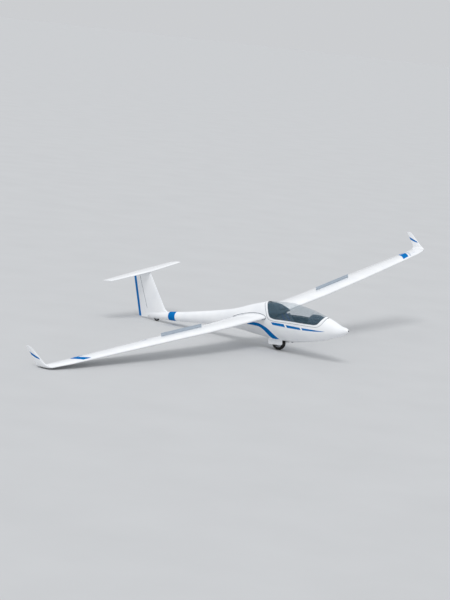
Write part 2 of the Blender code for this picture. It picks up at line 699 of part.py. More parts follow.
def stabilizer_at(x):
    """Leading edge y, chord and thickness of the stabilizer at a distance from the centre."""
    return tuple(float(np.interp(abs(x), STABILIZER[:, 0], STABILIZER[:, column]))
                 for column in (1, 2, 3))


def build_stabilizer():
    """Stabilizer on its pad, with the elevator in a bay that its tips close."""
    rings = []
    for x in [-x for x in STABILIZER[::-1, 0]] + list(STABILIZER[1:, 0]):
        leading, chord, thickness = stabilizer_at(x)
        rings.append([(x, leading + y, STABILIZER_Z + up) for y, up in foil_ring(chord, thickness)])
    stabilizer = part("stabilizer", loft(rings), GELCOAT)
    half, front, rear = STABILIZER_PAD
    join(stabilizer, cutter("fin_pad", box((-half, half), (front, rear),
                                           (FIN_TOP + FIT_GAP, STABILIZER_Z))))

    rings, coves = [], []
    bay_reach = 0.3
    for x in (-ELEVATOR_HALF_SPAN, 0.0, ELEVATOR_HALF_SPAN):
        leading, chord, thickness = stabilizer_at(x)
        fraction = (ELEVATOR_AXIS_Y - leading) / chord
        radius = foil_half(fraction, thickness) * chord + TRAILING_HALF
        rings.append([(x, y, up) for y, up in
                      flap_ring(ELEVATOR_AXIS_Y, STABILIZER_Z, radius, leading, chord, STABILIZER_Z,
                                thickness, 0.0)])
        coves.append([(x * (1 + RUN_GAP / ELEVATOR_HALF_SPAN), y, up) for y, up in
                      cove_ring(ELEVATOR_AXIS_Y, STABILIZER_Z, radius + RUN_GAP, bay_reach)])
    axis = Vector((0.0, ELEVATOR_AXIS_Y, STABILIZER_Z))
    elevator = part("elevator", loft(rings), GELCOAT, axis)
    cut(stabilizer, cutter("elevator_bay", loft(coves)))
    half_pin = 0.016
    for side, word in ((PORT, "left"), (STARBOARD, "right")):
        pin_joint(stabilizer, elevator, f"elevator_{word}",
                  axis + Vector((side * (ELEVATOR_HALF_SPAN + half_pin), 0.0, 0.0)),
                  axis + Vector((side * (ELEVATOR_HALF_SPAN - half_pin), 0.0, 0.0)))


def tyre_profile(size):
    """Cross-section of a tyre as (radius, x): a round crown and flat beads."""
    outer, half, rim = size
    middle = (outer + rim) / 2 + 0.25 * (outer - rim)
    crown = [(middle + (outer - middle) * sin(pi * i / 8), -half * cos(pi * i / 8)) for i in range(9)]
    return crown + [(rim, half * 0.72), (rim, -half * 0.72)]


def hub_profile(size, bore):
    """Cross-section of a wheel hub with two rims and a thin disc."""
    half, rim = size[1:]
    seat = rim - FIT_GAP
    wide = half * 0.72
    lip, flare, web, boss = 0.010, 0.004, 0.006, 1.9 * bore
    side = [(seat - lip, wide), (seat - lip - flare, web), (boss, web), (boss, wide), (bore, wide)]
    other = [(radius, -x) for radius, x in side[::-1]]
    return [(seat, -wide), (seat, wide)] + side + other


def build_wheel(word, centre, size, axle, sides):
    """A tyre, its hub and the axle that carries them."""
    radius, half_length = axle
    across = Vector((half_length, 0.0, 0.0))
    turned(f"{word}_tyre", tyre_profile(size), centre, RUBBER, sides)
    hub = turned(f"{word}_hub", hub_profile(size, radius + FIT_GAP), centre, ALLOY, sides // 2)
    part(f"{word}_axle", rod(centre - across, centre + across, radius), STEEL)
    return hub


def build_gear(body):
    """Main wheel in its fork with open doors, and the tail wheel."""
    cut(body, cutter("wheel_well", box(*WELL)), cutter("tail_well", box(*TAIL_WELL)))
    hub = build_wheel("main", MAIN_WHEEL, MAIN_TYRE, MAIN_AXLE, 48)
    ring, hole = 0.62 * MAIN_TYRE[2], 0.016
    for i in range(HUB_HOLES):
        angle = 2 * pi * i / HUB_HOLES
        spot = MAIN_WHEEL + Vector((0.0, ring * cos(angle), ring * sin(angle)))
        away = Vector((0.02, 0.0, 0.0))
        cut(hub, cutter(f"hub_hole_{i}", rod(spot - away, spot + away, hole, 12)))

    build_wheel("tail", TAIL_WHEEL, TAIL_TYRE, TAIL_AXLE, 32)
    radius, half_length = TAIL_AXLE
    seat = Vector((half_length + FIT_GAP, 0.0, 0.0))
    cut(body, cutter("tail_axle_bore", rod(TAIL_WHEEL - seat, TAIL_WHEEL + seat, radius + FIT_GAP)))

    inner, outer, leg_half, eye, crown_half, crown = FORK
    y, z, roof = MAIN_WHEEL.y, MAIN_WHEEL.z, WELL[2][1] - FIT_GAP
    fork = part("gear_fork", box((-outer, outer), (y - crown_half, y + crown_half), (roof - crown, roof)),
                STEEL)
    for side in (PORT, STARBOARD):
        leg = sorted((side * inner, side * outer))
        leg_y = (y - leg_half, y + leg_half)
        join(fork, cutter(f"fork_leg_{side}", box(leg, leg_y, (z, roof - crown / 2))),
             cutter(f"fork_eye_{side}", rod((leg[0], y, z), (leg[1], y, z), eye)))
    cut(fork, cutter("fork_bore", rod((-0.1, y, z), (0.1, y, z), MAIN_AXLE[0] + FIT_GAP)))
    build_gear_doors()


def build_gear_doors():
    """Two curved doors that hang open beside the wheel."""
    hinge_x, hinge_z, depth, bulge, thick, lean, half_length = GEAR_DOOR
    skin = cutter("door_skin", fuselage_loft(-FIT_GAP))
    for side, word in ((PORT, "left"), (STARBOARD, "right")):
        outline = []
        for offset, steps in ((thick, range(7)), (0.0, range(6, -1, -1))):
            for i in steps:
                t = i / 6
                outline.append((4 * bulge * t * (1 - t) + offset, -depth * t))
        turn = (Matrix.Translation((side * hinge_x, MAIN_WHEEL.y, hinge_z))
                @ Matrix.Rotation(-radians(lean) * side, 4, "Y"))
        bm = loft([[(side * x, y, z) for x, z in outline] for y in (-half_length, half_length)])
        bmesh.ops.transform(bm, matrix=turn, verts=bm.verts)
        cut(part(f"gear_door_{word}", bm, GELCOAT), skin)


def slab(outline, half_width):
    """A symmetric cockpit piece from its (y, z) side view."""
    return prism(outline, -half_width, half_width)


def hood_ring(y, bottom, top, half_width):
    """Section of the instrument hood: a flat base under a half ellipse."""
    middle = bottom + 0.45 * (top - bottom)
    arch = [(half_width * cos(a), y, middle + (top - middle) * sin(a))
            for a in (pi * i / 10 for i in range(11))]
    return [(half_width, y, bottom)] + arch + [(-half_width, y, bottom)]


def on_deck(outline):
    """Side view of a piece lying on the rear deck's slope, as (y, z)."""
    foot, head = np.array(DECK_SLOPE)
    along = (head - foot) / np.linalg.norm(head - foot)
    out = np.array((-along[1], along[0]))
    return [tuple(foot + reach * along + rise * out) for reach, rise in outline]


def build_cockpit(body_skin):
    """Seat, controls and panel, standing on the cockpit floor or the rear deck."""
    space = cutter("cockpit_space", cockpit_loft(FIT_GAP))
    floor = COCKPIT_FLOOR + FIT_GAP
    seat_pan = part("seat_pan", slab(SEAT_SIDE, SEAT_HALF), UPHOLSTERY)
    shelf = part("rear_shelf", slab(SHELF_SIDE, SHELF_HALF), TRIM)
    for piece in (seat_pan, shelf):
        combine(piece, space, "INTERSECT")
    part("headrest", slab(on_deck(HEADREST_SIDE), HEADREST_HALF), UPHOLSTERY)
    part("instrument_hood", loft([hood_ring(*row) for row in INSTRUMENT_HOOD]), TRIM)
    under = [(y, bottom - FIT_GAP) for y, bottom, _, _ in INSTRUMENT_HOOD if y > PEDESTAL_FRONT]
    y0, z0, y1, z1 = (*INSTRUMENT_HOOD[2][:2], *INSTRUMENT_HOOD[3][:2])
    front_z = z0 + (z1 - z0) * (PEDESTAL_FRONT - y0) / (y1 - y0) - FIT_GAP
    rear = INSTRUMENT_HOOD[-1][0]
    part("pedestal", slab([(PEDESTAL_FRONT, floor), (rear, floor)] + under[::-1]
                          + [(PEDESTAL_FRONT, front_z)], PEDESTAL_HALF), TRIM)

    boot, tube, grip = STICK_RADII
    foot = (0.0, STICK_FOOT_Y, floor)
    bend, top = (0.0, *STICK_BEND), (0.0, *STICK_TOP)
    stick = part("control_stick", rod(foot, (0.0, STICK_FOOT_Y, floor + 0.025), boot), TRIM)
    tube_ends = (0.0, STICK_FOOT_Y, floor + 0.01), (0.0, STICK_BEND[0], 0.03)
    join(stick, cutter("stick_tube", rod(*tube_ends, tube)),
         cutter("stick_grip", rod(bend, top, grip)))

    bar_y, bar_z, bar_half, bar_radius = PEDAL_BAR
    across, along, head = PEDAL_STAND
    pedals = part("rudder_pedals", box(across, along, (floor, head)), STEEL)
    bar_ends = (-bar_half, bar_y, bar_z), (bar_half, bar_y, bar_z)
    join(pedals, cutter("pedal_bar", rod(*bar_ends, bar_radius)))
    for side in (PORT, STARBOARD):
        plate_x, plate_y, plate_z = PEDAL_PLATE
        join(pedals, cutter(f"pedal_{side}", box(sorted(side * x for x in plate_x), plate_y, plate_z)))

    for side, word in ((PORT, "left"), (STARBOARD, "right")):
        console_x, console_y, console_z = CONSOLE
        across = sorted(side * x for x in console_x)
        console = part(f"console_{word}", box(across, console_y, console_z), TRIM)
        combine(console, space, "INTERSECT")
    slide_x, slide_y, slide_height = LEVER_SLIDE
    seat_z = CONSOLE[2][1] + FIT_GAP
    arm, knob = LEVER_RADII
    lever = part("airbrake_lever", box(slide_x, slide_y, (seat_z, seat_z + slide_height)), STEEL)
    join(lever, cutter("lever_arm", rod(*LEVER_ARM, arm)), cutter("lever_knob", rod(*LEVER_KNOB, knob)))

    half, hook_y, hook_z = TOW_HOOK
    eye_y, eye_z, eye = TOW_EYE
    hook = part("tow_hook", box((-half, half), hook_y, hook_z), STEEL)
    cut(hook, body_skin, cutter("hook_eye", rod((-0.1, eye_y, eye_z), (0.1, eye_y, eye_z), eye)))


def evaluated_points(thing):
    """World positions of an object's vertices with its modifiers applied."""
    graph = bpy.context.evaluated_depsgraph_get()
    seen = thing.evaluated_get(graph)
    mesh = seen.to_mesh()
    points = np.array([tuple(seen.matrix_world @ vert.co) for vert in mesh.vertices])
    seen.to_mesh_clear()
    return points


def parked_turn():
    """The rotation that brings both wheels and the starboard tip skid to one level."""
    bpy.context.view_layer.update()
    touching = [evaluated_points(bpy.data.objects[name])
                for name in ("main_tyre", "tail_tyre", "tip_skid_right")]
    turn = Matrix.Identity(3)
    for _ in range(12):
        down = np.array(turn.transposed() @ Vector((0.0, 0.0, -1.0)))
        main, tail, tip = (Vector(points[np.argmax(points @ down)]) for points in touching)
        normal = (tail - main).cross(tip - main).normalized()
        if normal.z < 0:
            normal = -normal
        pitch = Matrix.Rotation(atan2(normal.y, normal.z), 3, "X")
        level = pitch @ normal
        turn = Matrix.Rotation(-atan2(level.x, level.z), 3, "Y") @ pitch
    return turn


def park():
    """Leans the aircraft as it parks, and stands it centred on the floor."""
    ATTITUDE.matrix_world = parked_turn().to_4x4()
    bpy.context.view_layer.update()
    points = np.vstack([evaluated_points(thing) for thing in GLIDER.objects if thing.type == "MESH"])
    low, high = points.min(axis=0), points.max(axis=0)
    place = ATTITUDE.matrix_world.copy()
    place.translation = (-(low[0] + high[0]) / 2, -(low[1] + high[1]) / 2, -low[2])
    ATTITUDE.matrix_world = place
    bpy.context.view_layer.update()


def build():
    body = build_fuselage()
    build_canopy(body)
    skin = cutter("wing_root", fuselage_loft(-FIT_GAP))
    for side in (PORT, STARBOARD):
        build_wing(side, skin)
    build_tail(body)
    build_gear(body)
    build_cockpit(skin)
    park()


build()
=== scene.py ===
import json
from functools import partial
from math import atan2, cos, pi, radians, sin, sqrt

import bmesh
import bpy
import numpy as np
from mathutils import Matrix, Vector
from mathutils.bvhtree import BVHTree
from mathutils.interpolate import poly_3d_calc


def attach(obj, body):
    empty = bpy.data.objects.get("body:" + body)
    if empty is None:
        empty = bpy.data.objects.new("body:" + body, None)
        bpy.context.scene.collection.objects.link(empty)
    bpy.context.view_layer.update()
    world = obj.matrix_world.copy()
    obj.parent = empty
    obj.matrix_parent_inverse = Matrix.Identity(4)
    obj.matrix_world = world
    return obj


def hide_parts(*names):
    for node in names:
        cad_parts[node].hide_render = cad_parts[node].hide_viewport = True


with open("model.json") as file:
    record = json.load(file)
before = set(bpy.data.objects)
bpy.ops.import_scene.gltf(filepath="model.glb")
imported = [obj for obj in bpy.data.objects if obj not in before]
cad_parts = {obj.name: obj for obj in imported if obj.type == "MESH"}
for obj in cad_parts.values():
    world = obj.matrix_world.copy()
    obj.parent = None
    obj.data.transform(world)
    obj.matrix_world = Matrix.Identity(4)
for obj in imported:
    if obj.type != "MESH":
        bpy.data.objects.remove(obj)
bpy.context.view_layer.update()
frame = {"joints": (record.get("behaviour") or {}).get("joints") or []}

PORT = 1
STARBOARD = -1
SIDES = ((PORT, "left"), (STARBOARD, "right"))
FIT_GAP = 0.0003
RUN_GAP = 0.0055
SHELL = 0.030
WELD = 2e-6
# The smallest radius of a turned body, whose ends stay open by a hair round the axis
AXIS = 0.0003
BOOM_Z = 0.15
UPWARD = (0.0, 0.0, 1.0)
FILM_RISE, FILM_SINK = 0.0008, 0.0004
# Pins of the control surfaces: radius, radius of the bore, how much deeper the bore is
PIN_RADIUS, PIN_BORE, PIN_PLAY = 0.004, 0.0043, 0.0015
# Sealing tapes: their two edges ahead of the edge of a cove
SEAL_REACH = (0.001, 0.011)

# Columns: y, top z, bottom z, half width
FUSELAGE = np.array((
    (0.00, 0.000, 0.000, 0.000),
    (0.05, 0.061, -0.060, 0.060),
    (0.20, 0.098, -0.136, 0.139),
    (0.45, 0.228, -0.210, 0.204),
    (0.80, 0.378, -0.287, 0.265),
    (1.20, 0.507, -0.339, 0.301),
    (1.70, 0.610, -0.369, 0.321),
    (2.20, 0.626, -0.335, 0.300),
    (2.80, 0.532, -0.239, 0.215),
    (3.50, 0.369, -0.123, 0.165),
    (4.40, 0.259, -0.072, 0.145),
    (5.40, 0.180, -0.061, 0.120),
    (6.00, 0.160, -0.039, 0.088),
    (6.43, 0.160, -0.026, 0.036),
))
WAIST_DROP = 0.04
FUSELAGE_SIDES = 96

# Columns: x, leading edge y, chord, z, thickness, droop of the trailing edge; the first rows
# are the root fairing
WING = np.array((
    (0.10, 2.275, 1.245, 0.248, 0.112, 0.070),
    (0.20, 2.279, 1.080, 0.253, 0.128, 0.045),
    (0.28, 2.280, 0.960, 0.257, 0.142, 0.020),
    (0.35, 2.279, 0.890, 0.261, 0.151, 0.005),
    (0.42, 2.276, 0.858, 0.264, 0.155, 0.000),
    (2.25, 2.212, 0.785, 0.357, 0.155, 0.000),
    (4.10, 2.250, 0.722, 0.460, 0.155, 0.000),
    (6.90, 2.475, 0.515, 0.574, 0.155, 0.000),
    (7.40, 2.583, 0.436, 0.594, 0.155, 0.000),
))
FAIRING_END = 0.42
WING_THICKNESS = 0.155
WING_CAMBER = 0.0225
TRAILING_HALF = 0.0012

# Columns: z above the wing tip, outward x, lean from level in degrees, leading edge y, chord,
# thickness
WINGLET = np.array((
    (0.0000, 0.0003, 0.0, 2.583, 0.4360, 0.155),
    (0.0120, 0.0450, 30.0, 2.610, 0.4050, 0.140),
    (0.0450, 0.0780, 60.0, 2.652, 0.3480, 0.125),
    (0.0830, 0.0900, 83.0, 2.708, 0.2850, 0.115),
    (0.2800, 0.1150, 83.0, 2.893, 0.1950, 0.105),
    (0.4600, 0.1380, 83.0, 3.074, 0.1130, 0.095),
    (0.4780, 0.1400, 83.0, 3.110, 0.0720, 0.060),
))

AILERON_SPAN = (4.10, 6.90)
AILERON_HINGE = 0.78
AIRBRAKE_SPAN = (2.32, 3.77)
AIRBRAKE_CHORD = 0.52
AIRBRAKE_BLADE = 0.008
AIRBRAKE_CAP = (0.024, 0.003)
AIRBRAKE_TRAVEL = 0.080
AIRBRAKE_HEIGHT = 0.087

FIN_LEADING = ((5.754, 0.10), (6.180, 1.146))
RUDDER_TRAILING = ((6.726, 0.00), (6.775, 1.146))
RUDDER_AXIS = ((6.395, 0.00), (6.587, 1.146))
RUDDER_HEIGHT = (0.0, 1.115)
FIN_TOP = 1.1765
FIN_THICKNESS = 0.11
RUDDER_SHELF = 1.145
RUDDER_HEAD_Y = 6.62
# Columns: z, how far the fin's foot reaches forward of its straight leading edge
FIN_FOOT = np.array(((0.05, 0.120), (0.168, 0.050), (0.205, 0.018), (0.250, 0.000),
                     (FIN_TOP, 0.000)))

STABILIZER_Z = 1.208
# Columns: x, leading edge y, chord, thickness
STABILIZER = np.array((
    (0.000, 6.165, 0.505, 0.110),
    (1.330, 6.297, 0.330, 0.110),
    (1.350, 6.314, 0.306, 0.085),
    (1.360, 6.325, 0.290, 0.040),
))
STABILIZER_THICKNESS = 0.11
ELEVATOR_AXIS_Y = 6.525
ELEVATOR_HALF_SPAN = 1.27

MAIN_WHEEL = Vector((0.0, 2.15, -0.42))
MAIN_TYRE = (0.180, 0.060, 0.112)
TAIL_WHEEL = Vector((0.0, 6.12, -0.012))
TAIL_TYRE = (0.085, 0.022, 0.050)
# Axles: radius, half length
MAIN_AXLE = (0.010, 0.082)
TAIL_AXLE = (0.005, 0.040)
HUB_HOLES = 6
# Fork legs: inner and outer x, half width along y, eye radius, crown half width, crown depth
FORK = (0.068, 0.078, 0.025, 0.025, 0.035, 0.008)
# Open doors of the well: x of the hinge, its z, depth, bulge, thickness, lean in degrees,
# half length
GEAR_DOOR = (0.094, -0.240, 0.205, 0.010, 0.006, 12.0, 0.215)
DOOR_CORNER = 0.035
# Goose-neck arm of a door, as (x, z)
DOOR_ARM = ((0.0850, -0.262), (0.0800, -0.318), (0.0950, -0.350), (0.1270, -0.353))
# Rubbing skid: x, front and rear y, top and rim over the chord line, depth, half width
TIP_SKID = (7.30, 2.665, 2.825, 0.020, -0.015, 0.040, 0.009)
TIP_SKID_Z = 0.590
# Tow hook under the floor: half thickness, y, z, and the eye's y, z and radius
TOW_HOOK = (0.006, (1.70, 1.75), (-0.398, -0.33))
TOW_EYE = (1.725, -0.384, 0.007)
WELL = ((-0.085, 0.085), (1.93, 2.37), (-0.60, -0.20))
TAIL_WELL = ((-0.030, 0.030), (6.02, 6.22), (-0.20, 0.082))

# Side view of the canopy's parting line, from the rear top round the sill to the front top
CANOPY_EDGE = ((2.440, 0.700), (2.405, 0.600), (2.330, 0.500), (2.272, 0.390), (2.232, 0.290),
               (2.170, 0.225), (2.060, 0.196), (1.800, 0.180), (1.500, 0.163), (1.200, 0.137),
               (0.940, 0.111), (0.800, 0.101), (0.720, 0.115), (0.655, 0.160), (0.603, 0.235),
               (0.578, 0.290), (0.556, 0.345), (0.545, 0.400), (0.545, 0.700))
WINDOW_EDGE = ((2.375, 0.700), (2.350, 0.630), (2.285, 0.545), (2.232, 0.450), (2.195, 0.360),
               (2.145, 0.285), (2.060, 0.252), (1.810, 0.231), (1.510, 0.212), (1.220, 0.183),
               (0.940, 0.158), (0.810, 0.151), (0.752, 0.168), (0.715, 0.205), (0.674, 0.257),
               (0.634, 0.310), (0.600, 0.355), (0.590, 0.400), (0.590, 0.700))
CANOPY_FRAME_DEPTH = 0.014
CANOPY_LEDGE = 0.030
GLASS_DEPTH = 0.005
CANOPY_AXIS_Y = 0.580
CANOPY_AXIS_SINK = 0.001
# Hinge: pin radius, barrel radius, half width of the middle knuckle, half length
CANOPY_HINGE = (0.003, 0.007, 0.020, 0.034)
COCKPIT_FLOOR = -0.20
SHELF_FLOOR = 0.02
COCKPIT_REACH = (0.36, 2.33)
SHELF_START = 1.87

# The face of the seat in side view, from the front of the seat to the top of its back, as (y, z)
SEAT_FACE = ((1.26, -0.120), (1.34, -0.150), (1.48, -0.155), (1.60, -0.110), (1.68, -0.050),
             (1.74, 0.030), (1.83, 0.160), (1.91, 0.300))
SEAT_HALF = 0.23
# The rear deck's slope, and what the headrest takes of it along the slope and out from it
DECK_SLOPE = ((1.930, 0.408), (2.070, 0.524))
SHELF_HALF = 0.22
HEADREST_REACH = ((0.020, FIT_GAP), (0.155, 0.040))
HEADREST_HALF = 0.085
BELT_WIDTH = 0.044
# Slots of the shoulder belts in the deck: x and y
BELT_SLOT = (0.080, 1.932)
# Columns: y, bottom z, top z, half width
INSTRUMENT_HOOD = np.array((
    (0.72, 0.220, 0.285, 0.090),
    (0.80, 0.180, 0.318, 0.118),
    (0.88, 0.140, 0.342, 0.140),
    (1.03, 0.060, 0.350, 0.160),
    (1.08, 0.050, 0.315, 0.155),
))
PANEL_FACE = 1.083
# Columns: x, z, radius, angle of the hand
DIALS = ((-0.078, 0.222, 0.038, 2.4), (0.0, 0.245, 0.038, -2.2), (0.078, 0.222, 0.038, -0.7),
         (-0.104, 0.146, 0.026, 1.6), (-0.040, 0.163, 0.026, -1.2), (0.104, 0.146, 0.026, 0.4))
PEDESTAL_FRONT = 0.90
PEDESTAL_HALF = 0.065
# Control stick: y of its foot, y and z of its bend and of its top, radii of boot, tube and grip
STICK_FOOT_Y = 1.17
STICK_BEND = (1.152, 0.01)
STICK_TOP = (1.185, 0.13)
STICK_RADII = (0.028, 0.009, 0.016)
# Pedals: y of the bar and its z, half width, pedal y, z and inner and outer x
PEDAL_BAR = (0.64, -0.08, 0.135, 0.008)
PEDAL_STAND = ((-0.02, 0.02), (0.62, 0.70), -0.06)
PEDAL_PLATE = ((0.055, 0.125), (0.632, 0.645), (-0.13, 0.02))
CONSOLE = ((0.19, 0.35), (1.16, 1.66), (-0.01, 0.03))
# Airbrake lever: its slide, then its arm from foot to knob as (x, y, z)
LEVER_SLIDE = ((0.205, 0.235), (1.28, 1.34), 0.015)
LEVER_ARM = ((0.220, 1.310, 0.040), (0.219, 1.292, 0.085), (0.215, 1.270, 0.120))
LEVER_KNOB = ((0.195, 1.268, 0.125), (0.235, 1.268, 0.125))
LEVER_RADII = (0.007, 0.014)


def level_frame():
    """The matrix from the level frame to the parked one, from the axles of the two wheels."""
    joints = {joint["name"]: joint for joint in frame["joints"]}
    across = Vector(joints["main_wheel"]["axis"]).normalized()
    main = Vector(joints["main_wheel"]["pos_m"])
    along = (Vector(joints["tail_wheel"]["pos_m"]) - main).normalized()
    step = TAIL_WHEEL - MAIN_WHEEL
    slope = atan2(step.z, step.y)
    above = across.cross(along)
    aft = along * cos(slope) - above * sin(slope)
    up = along * sin(slope) + above * cos(slope)
    turn = Matrix((across, aft, up)).transposed()
    place = turn.to_4x4()
    place.translation = main - turn @ MAIN_WHEEL
    return place


PARKED = level_frame()


# Materials

def linear(red, green, blue):
    """A colour in linear light from 0 to 255 steps."""
    return tuple(((step / 255 + 0.055) / 1.055) ** 2.4 if step > 10 else step / 255 / 12.92
                 for step in (red, green, blue))


class Finish:
    """A node material: a Principled shader with helpers that feed it."""

    def __init__(self, name, roughness, **sockets):
        """A new material with the shader's sockets set."""
        self.made = bpy.data.materials.new(name)
        self.made.use_nodes = True
        self.tree = self.made.node_tree
        self.shader = self.tree.nodes["Principled BSDF"]
        self.shader.inputs["Roughness"].default_value = roughness
        for socket, value in sockets.items():
            self.shader.inputs[socket.replace("_", " ")].default_value = value
        self.place = self.node("ShaderNodeTexCoord").outputs["Object"]

    def node(self, kind, **settings):
        """A new node with its settings."""
        made = self.tree.nodes.new(kind)
        for key, value in settings.items():
            setattr(made, key, value)
        return made

    def link(self, start, end):
        """Joins two sockets."""
        self.tree.links.new(start, end)

    def noise(self, scale, detail=3.0, stretch=(1.0, 1.0, 1.0)):
        """A noise field over the object's own space, from 0 to 1."""
        mapping = self.node("ShaderNodeMapping")
        mapping.inputs["Scale"].default_value = stretch
        self.link(self.place, mapping.inputs["Vector"])
        field = self.node("ShaderNodeTexNoise")
        field.inputs["Scale"].default_value = scale
        field.inputs["Detail"].default_value = detail
        self.link(mapping.outputs["Vector"], field.inputs["Vector"])
        return field.outputs["Fac"]

    def ramp(self, field, low, high, start, stop):
        """Two colours, mixed along a field."""
        ramp = self.node("ShaderNodeValToRGB")
        ramp.color_ramp.elements[0].position = start
        ramp.color_ramp.elements[1].position = stop
        ramp.color_ramp.elements[0].color = (*low, 1.0)
        ramp.color_ramp.elements[1].color = (*high, 1.0)
        self.link(field, ramp.inputs["Fac"])
        return ramp.outputs["Color"]

    def wave(self, axis, period):
        """Parallel bands across an axis, from 0 to 1."""
        bands = self.node("ShaderNodeTexWave", bands_direction=axis)
        bands.inputs["Scale"].default_value = 0.314 / period
        self.link(self.place, bands.inputs["Vector"])
        return bands.outputs["Fac"]

    def blended(self, one, other):
        """The product of two fields."""
        node = self.node("ShaderNodeMath", operation="MULTIPLY")
        self.link(one, node.inputs[0])
        self.link(other, node.inputs[1])
        return node.outputs["Value"]

    def clouded(self, field, low, high, start=0.3, stop=0.7):
        """Base colour that varies between two colours along a field."""
        self.link(self.ramp(field, linear(*low), linear(*high), start, stop),
                  self.shader.inputs["Base Color"])

    def rough(self, field, low, high):
        """Roughness that varies from low to high along a field."""
        spread = self.node("ShaderNodeMapRange")
        spread.inputs["To Min"].default_value = low
        spread.inputs["To Max"].default_value = high
        self.link(field, spread.inputs["Value"])
        self.link(spread.outputs["Result"], self.shader.inputs["Roughness"])

    def bump(self, field, height, strength=1.0):
        """Raises the surface by a field times a height in metres."""
        bump = self.node("ShaderNodeBump")
        bump.inputs["Distance"].default_value = height
        bump.inputs["Strength"].default_value = strength
        self.link(field, bump.inputs["Height"])
        self.link(bump.outputs["Normal"], self.shader.inputs["Normal"])


def paint(name, low, high, roughness=0.18, coat=0.15, specular=0.35):
    """Glossy gelcoat or lacquer with faint cloudiness and an even finer ripple."""
    finish = Finish(name, roughness, Coat_Weight=coat, Coat_Roughness=0.06,
                    Specular_IOR_Level=specular)
    finish.clouded(finish.noise(2.6, 5.0), low, high)
    finish.rough(finish.noise(11.0, 6.0), roughness - 0.03, roughness + 0.07)
    finish.bump(finish.noise(38.0, 1.0), 0.00012)
    return finish.made


def rubber(name, low, high, grain):
    """Cloudy matt rubber with a fine grain."""
    finish = Finish(name, 0.75, Specular_IOR_Level=0.35)
    field = finish.noise(55.0, 8.0)
    finish.clouded(field, low, high)
    finish.rough(field, 0.62, 0.9)
    finish.bump(finish.noise(grain, 4.0), 0.0006)
    return finish.made


def metal(name, low, high, roughness, metallic, stretch=(1.0, 1.0, 1.0)):
    """Metal or metallic paint with worn, uneven gloss."""
    finish = Finish(name, roughness, Metallic=metallic)
    field = finish.noise(60.0, 6.0, stretch)
    finish.clouded(field, low, high)
    finish.rough(field, roughness - 0.08, roughness + 0.12)
    finish.bump(field, 0.0001)
    return finish.made


def moulding(name, low, high, roughness, grain=420.0):
    """Matt moulded trim with a leather-like grain."""
    finish = Finish(name, roughness)
    finish.clouded(finish.noise(9.0, 6.0), low, high)
    finish.bump(finish.noise(grain, 2.0), 0.0008, 0.6)
    return finish.made


def fabric(name, low, high, thread=0.0024, sheen=0.25):
    """Woven cloth: crossed threads in relief, and a cloudy colour."""
    finish = Finish(name, 0.92, Sheen_Weight=sheen)
    weave = finish.blended(finish.wave("X", thread), finish.wave("Z", thread))
    finish.clouded(finish.blended(finish.noise(14.0, 6.0), weave), low, high, 0.0, 0.5)
    finish.bump(weave, 0.0006, 0.8)
    return finish.made


def tinted_glass():
    """Acrylic sheet, tinted slate blue, seen through and shiny."""
    finish = Finish("tinted_acrylic", 0.03, Alpha=0.12, Specular_IOR_Level=1.0, Coat_Weight=1.0,
                    Coat_Roughness=0.02)
    finish.clouded(finish.noise(1.4, 2.0), (84, 130, 152), (92, 142, 164))
    finish.rough(finish.noise(6.0, 4.0), 0.015, 0.05)
    return finish.made


GELCOAT = paint("white_gelcoat", (244, 246, 249), (252, 253, 254))
BLUE = paint("blue_film", (16, 112, 184), (24, 122, 195), 0.42, 0.0, 0.0)
PALE_GREY = paint("grey_film", (196, 203, 214), (206, 212, 222), 0.4, 0.0, 0.2)
GLASS = tinted_glass()
BRAKE_GREY = metal("brake_grey", (170, 182, 194), (194, 204, 214), 0.45, 0.25, (1.0, 12.0, 1.0))
TYRE = rubber("tyre_rubber", (22, 22, 23), (46, 45, 44), 900.0)
SKID = rubber("skid_rubber", (30, 31, 33), (52, 52, 54), 500.0)
STEEL = metal("painted_steel", (84, 88, 94), (106, 110, 116), 0.42, 0.55)
ALLOY = metal("wheel_alloy", (176, 180, 186), (205, 208, 212), 0.32, 0.95)
TRIM = moulding("cockpit_trim", (52, 62, 74), (66, 78, 92), 0.7)
LINER = moulding("cockpit_liner", (40, 54, 66), (54, 70, 84), 0.75)
# Grey of the real sealing tapes at the ailerons and the rudder. The same grey is painted shade
# beside the canopy's parting line, round the wing roots and on the nose opening's rim
SEAL_GREY_AND_PAINTED_SHADE = paint("sealant_and_painted_shade", (96, 104, 114), (112, 120, 130), 0.4)
CUSHION = fabric("seat_cloth", (44, 56, 70), (70, 84, 100))
PIPING = fabric("piping_cloth", (26, 32, 40), (44, 52, 62), 0.0016)
WEBBING = fabric("harness_webbing", (34, 60, 104), (56, 86, 140), 0.0014, 0.1)
BLACK = moulding("black_plastic", (16, 17, 19), (28, 29, 32), 0.45, 900.0)
DIAL_WHITE = moulding("dial_white", (220, 222, 220), (236, 238, 236), 0.5, 900.0)
KNOB_BLUE = moulding("knob_blue", (18, 70, 150), (26, 84, 170), 0.35, 700.0)
KNOB_GREEN = moulding("knob_green", (24, 122, 58), (34, 140, 70), 0.35, 700.0)
KNOB_RED = moulding("knob_red", (176, 24, 22), (196, 36, 30), 0.35, 700.0)
BRASS = metal("brass", (176, 140, 78), (206, 172, 108), 0.3, 0.9)


# Mesh helpers

def link_object(name, data):
    """A new object of the scene."""
    made = bpy.data.objects.new(name, data)
    bpy.context.scene.collection.objects.link(made)
    return made


def from_bmesh(name, bm, finish):
    """A new object from an edited mesh, which is used up."""
    bmesh.ops.recalc_face_normals(bm, faces=bm.faces)
    mesh = bpy.data.meshes.new(name)
    bm.to_mesh(mesh)
    bm.free()
    mesh.materials.append(finish)
    return link_object(name, mesh)


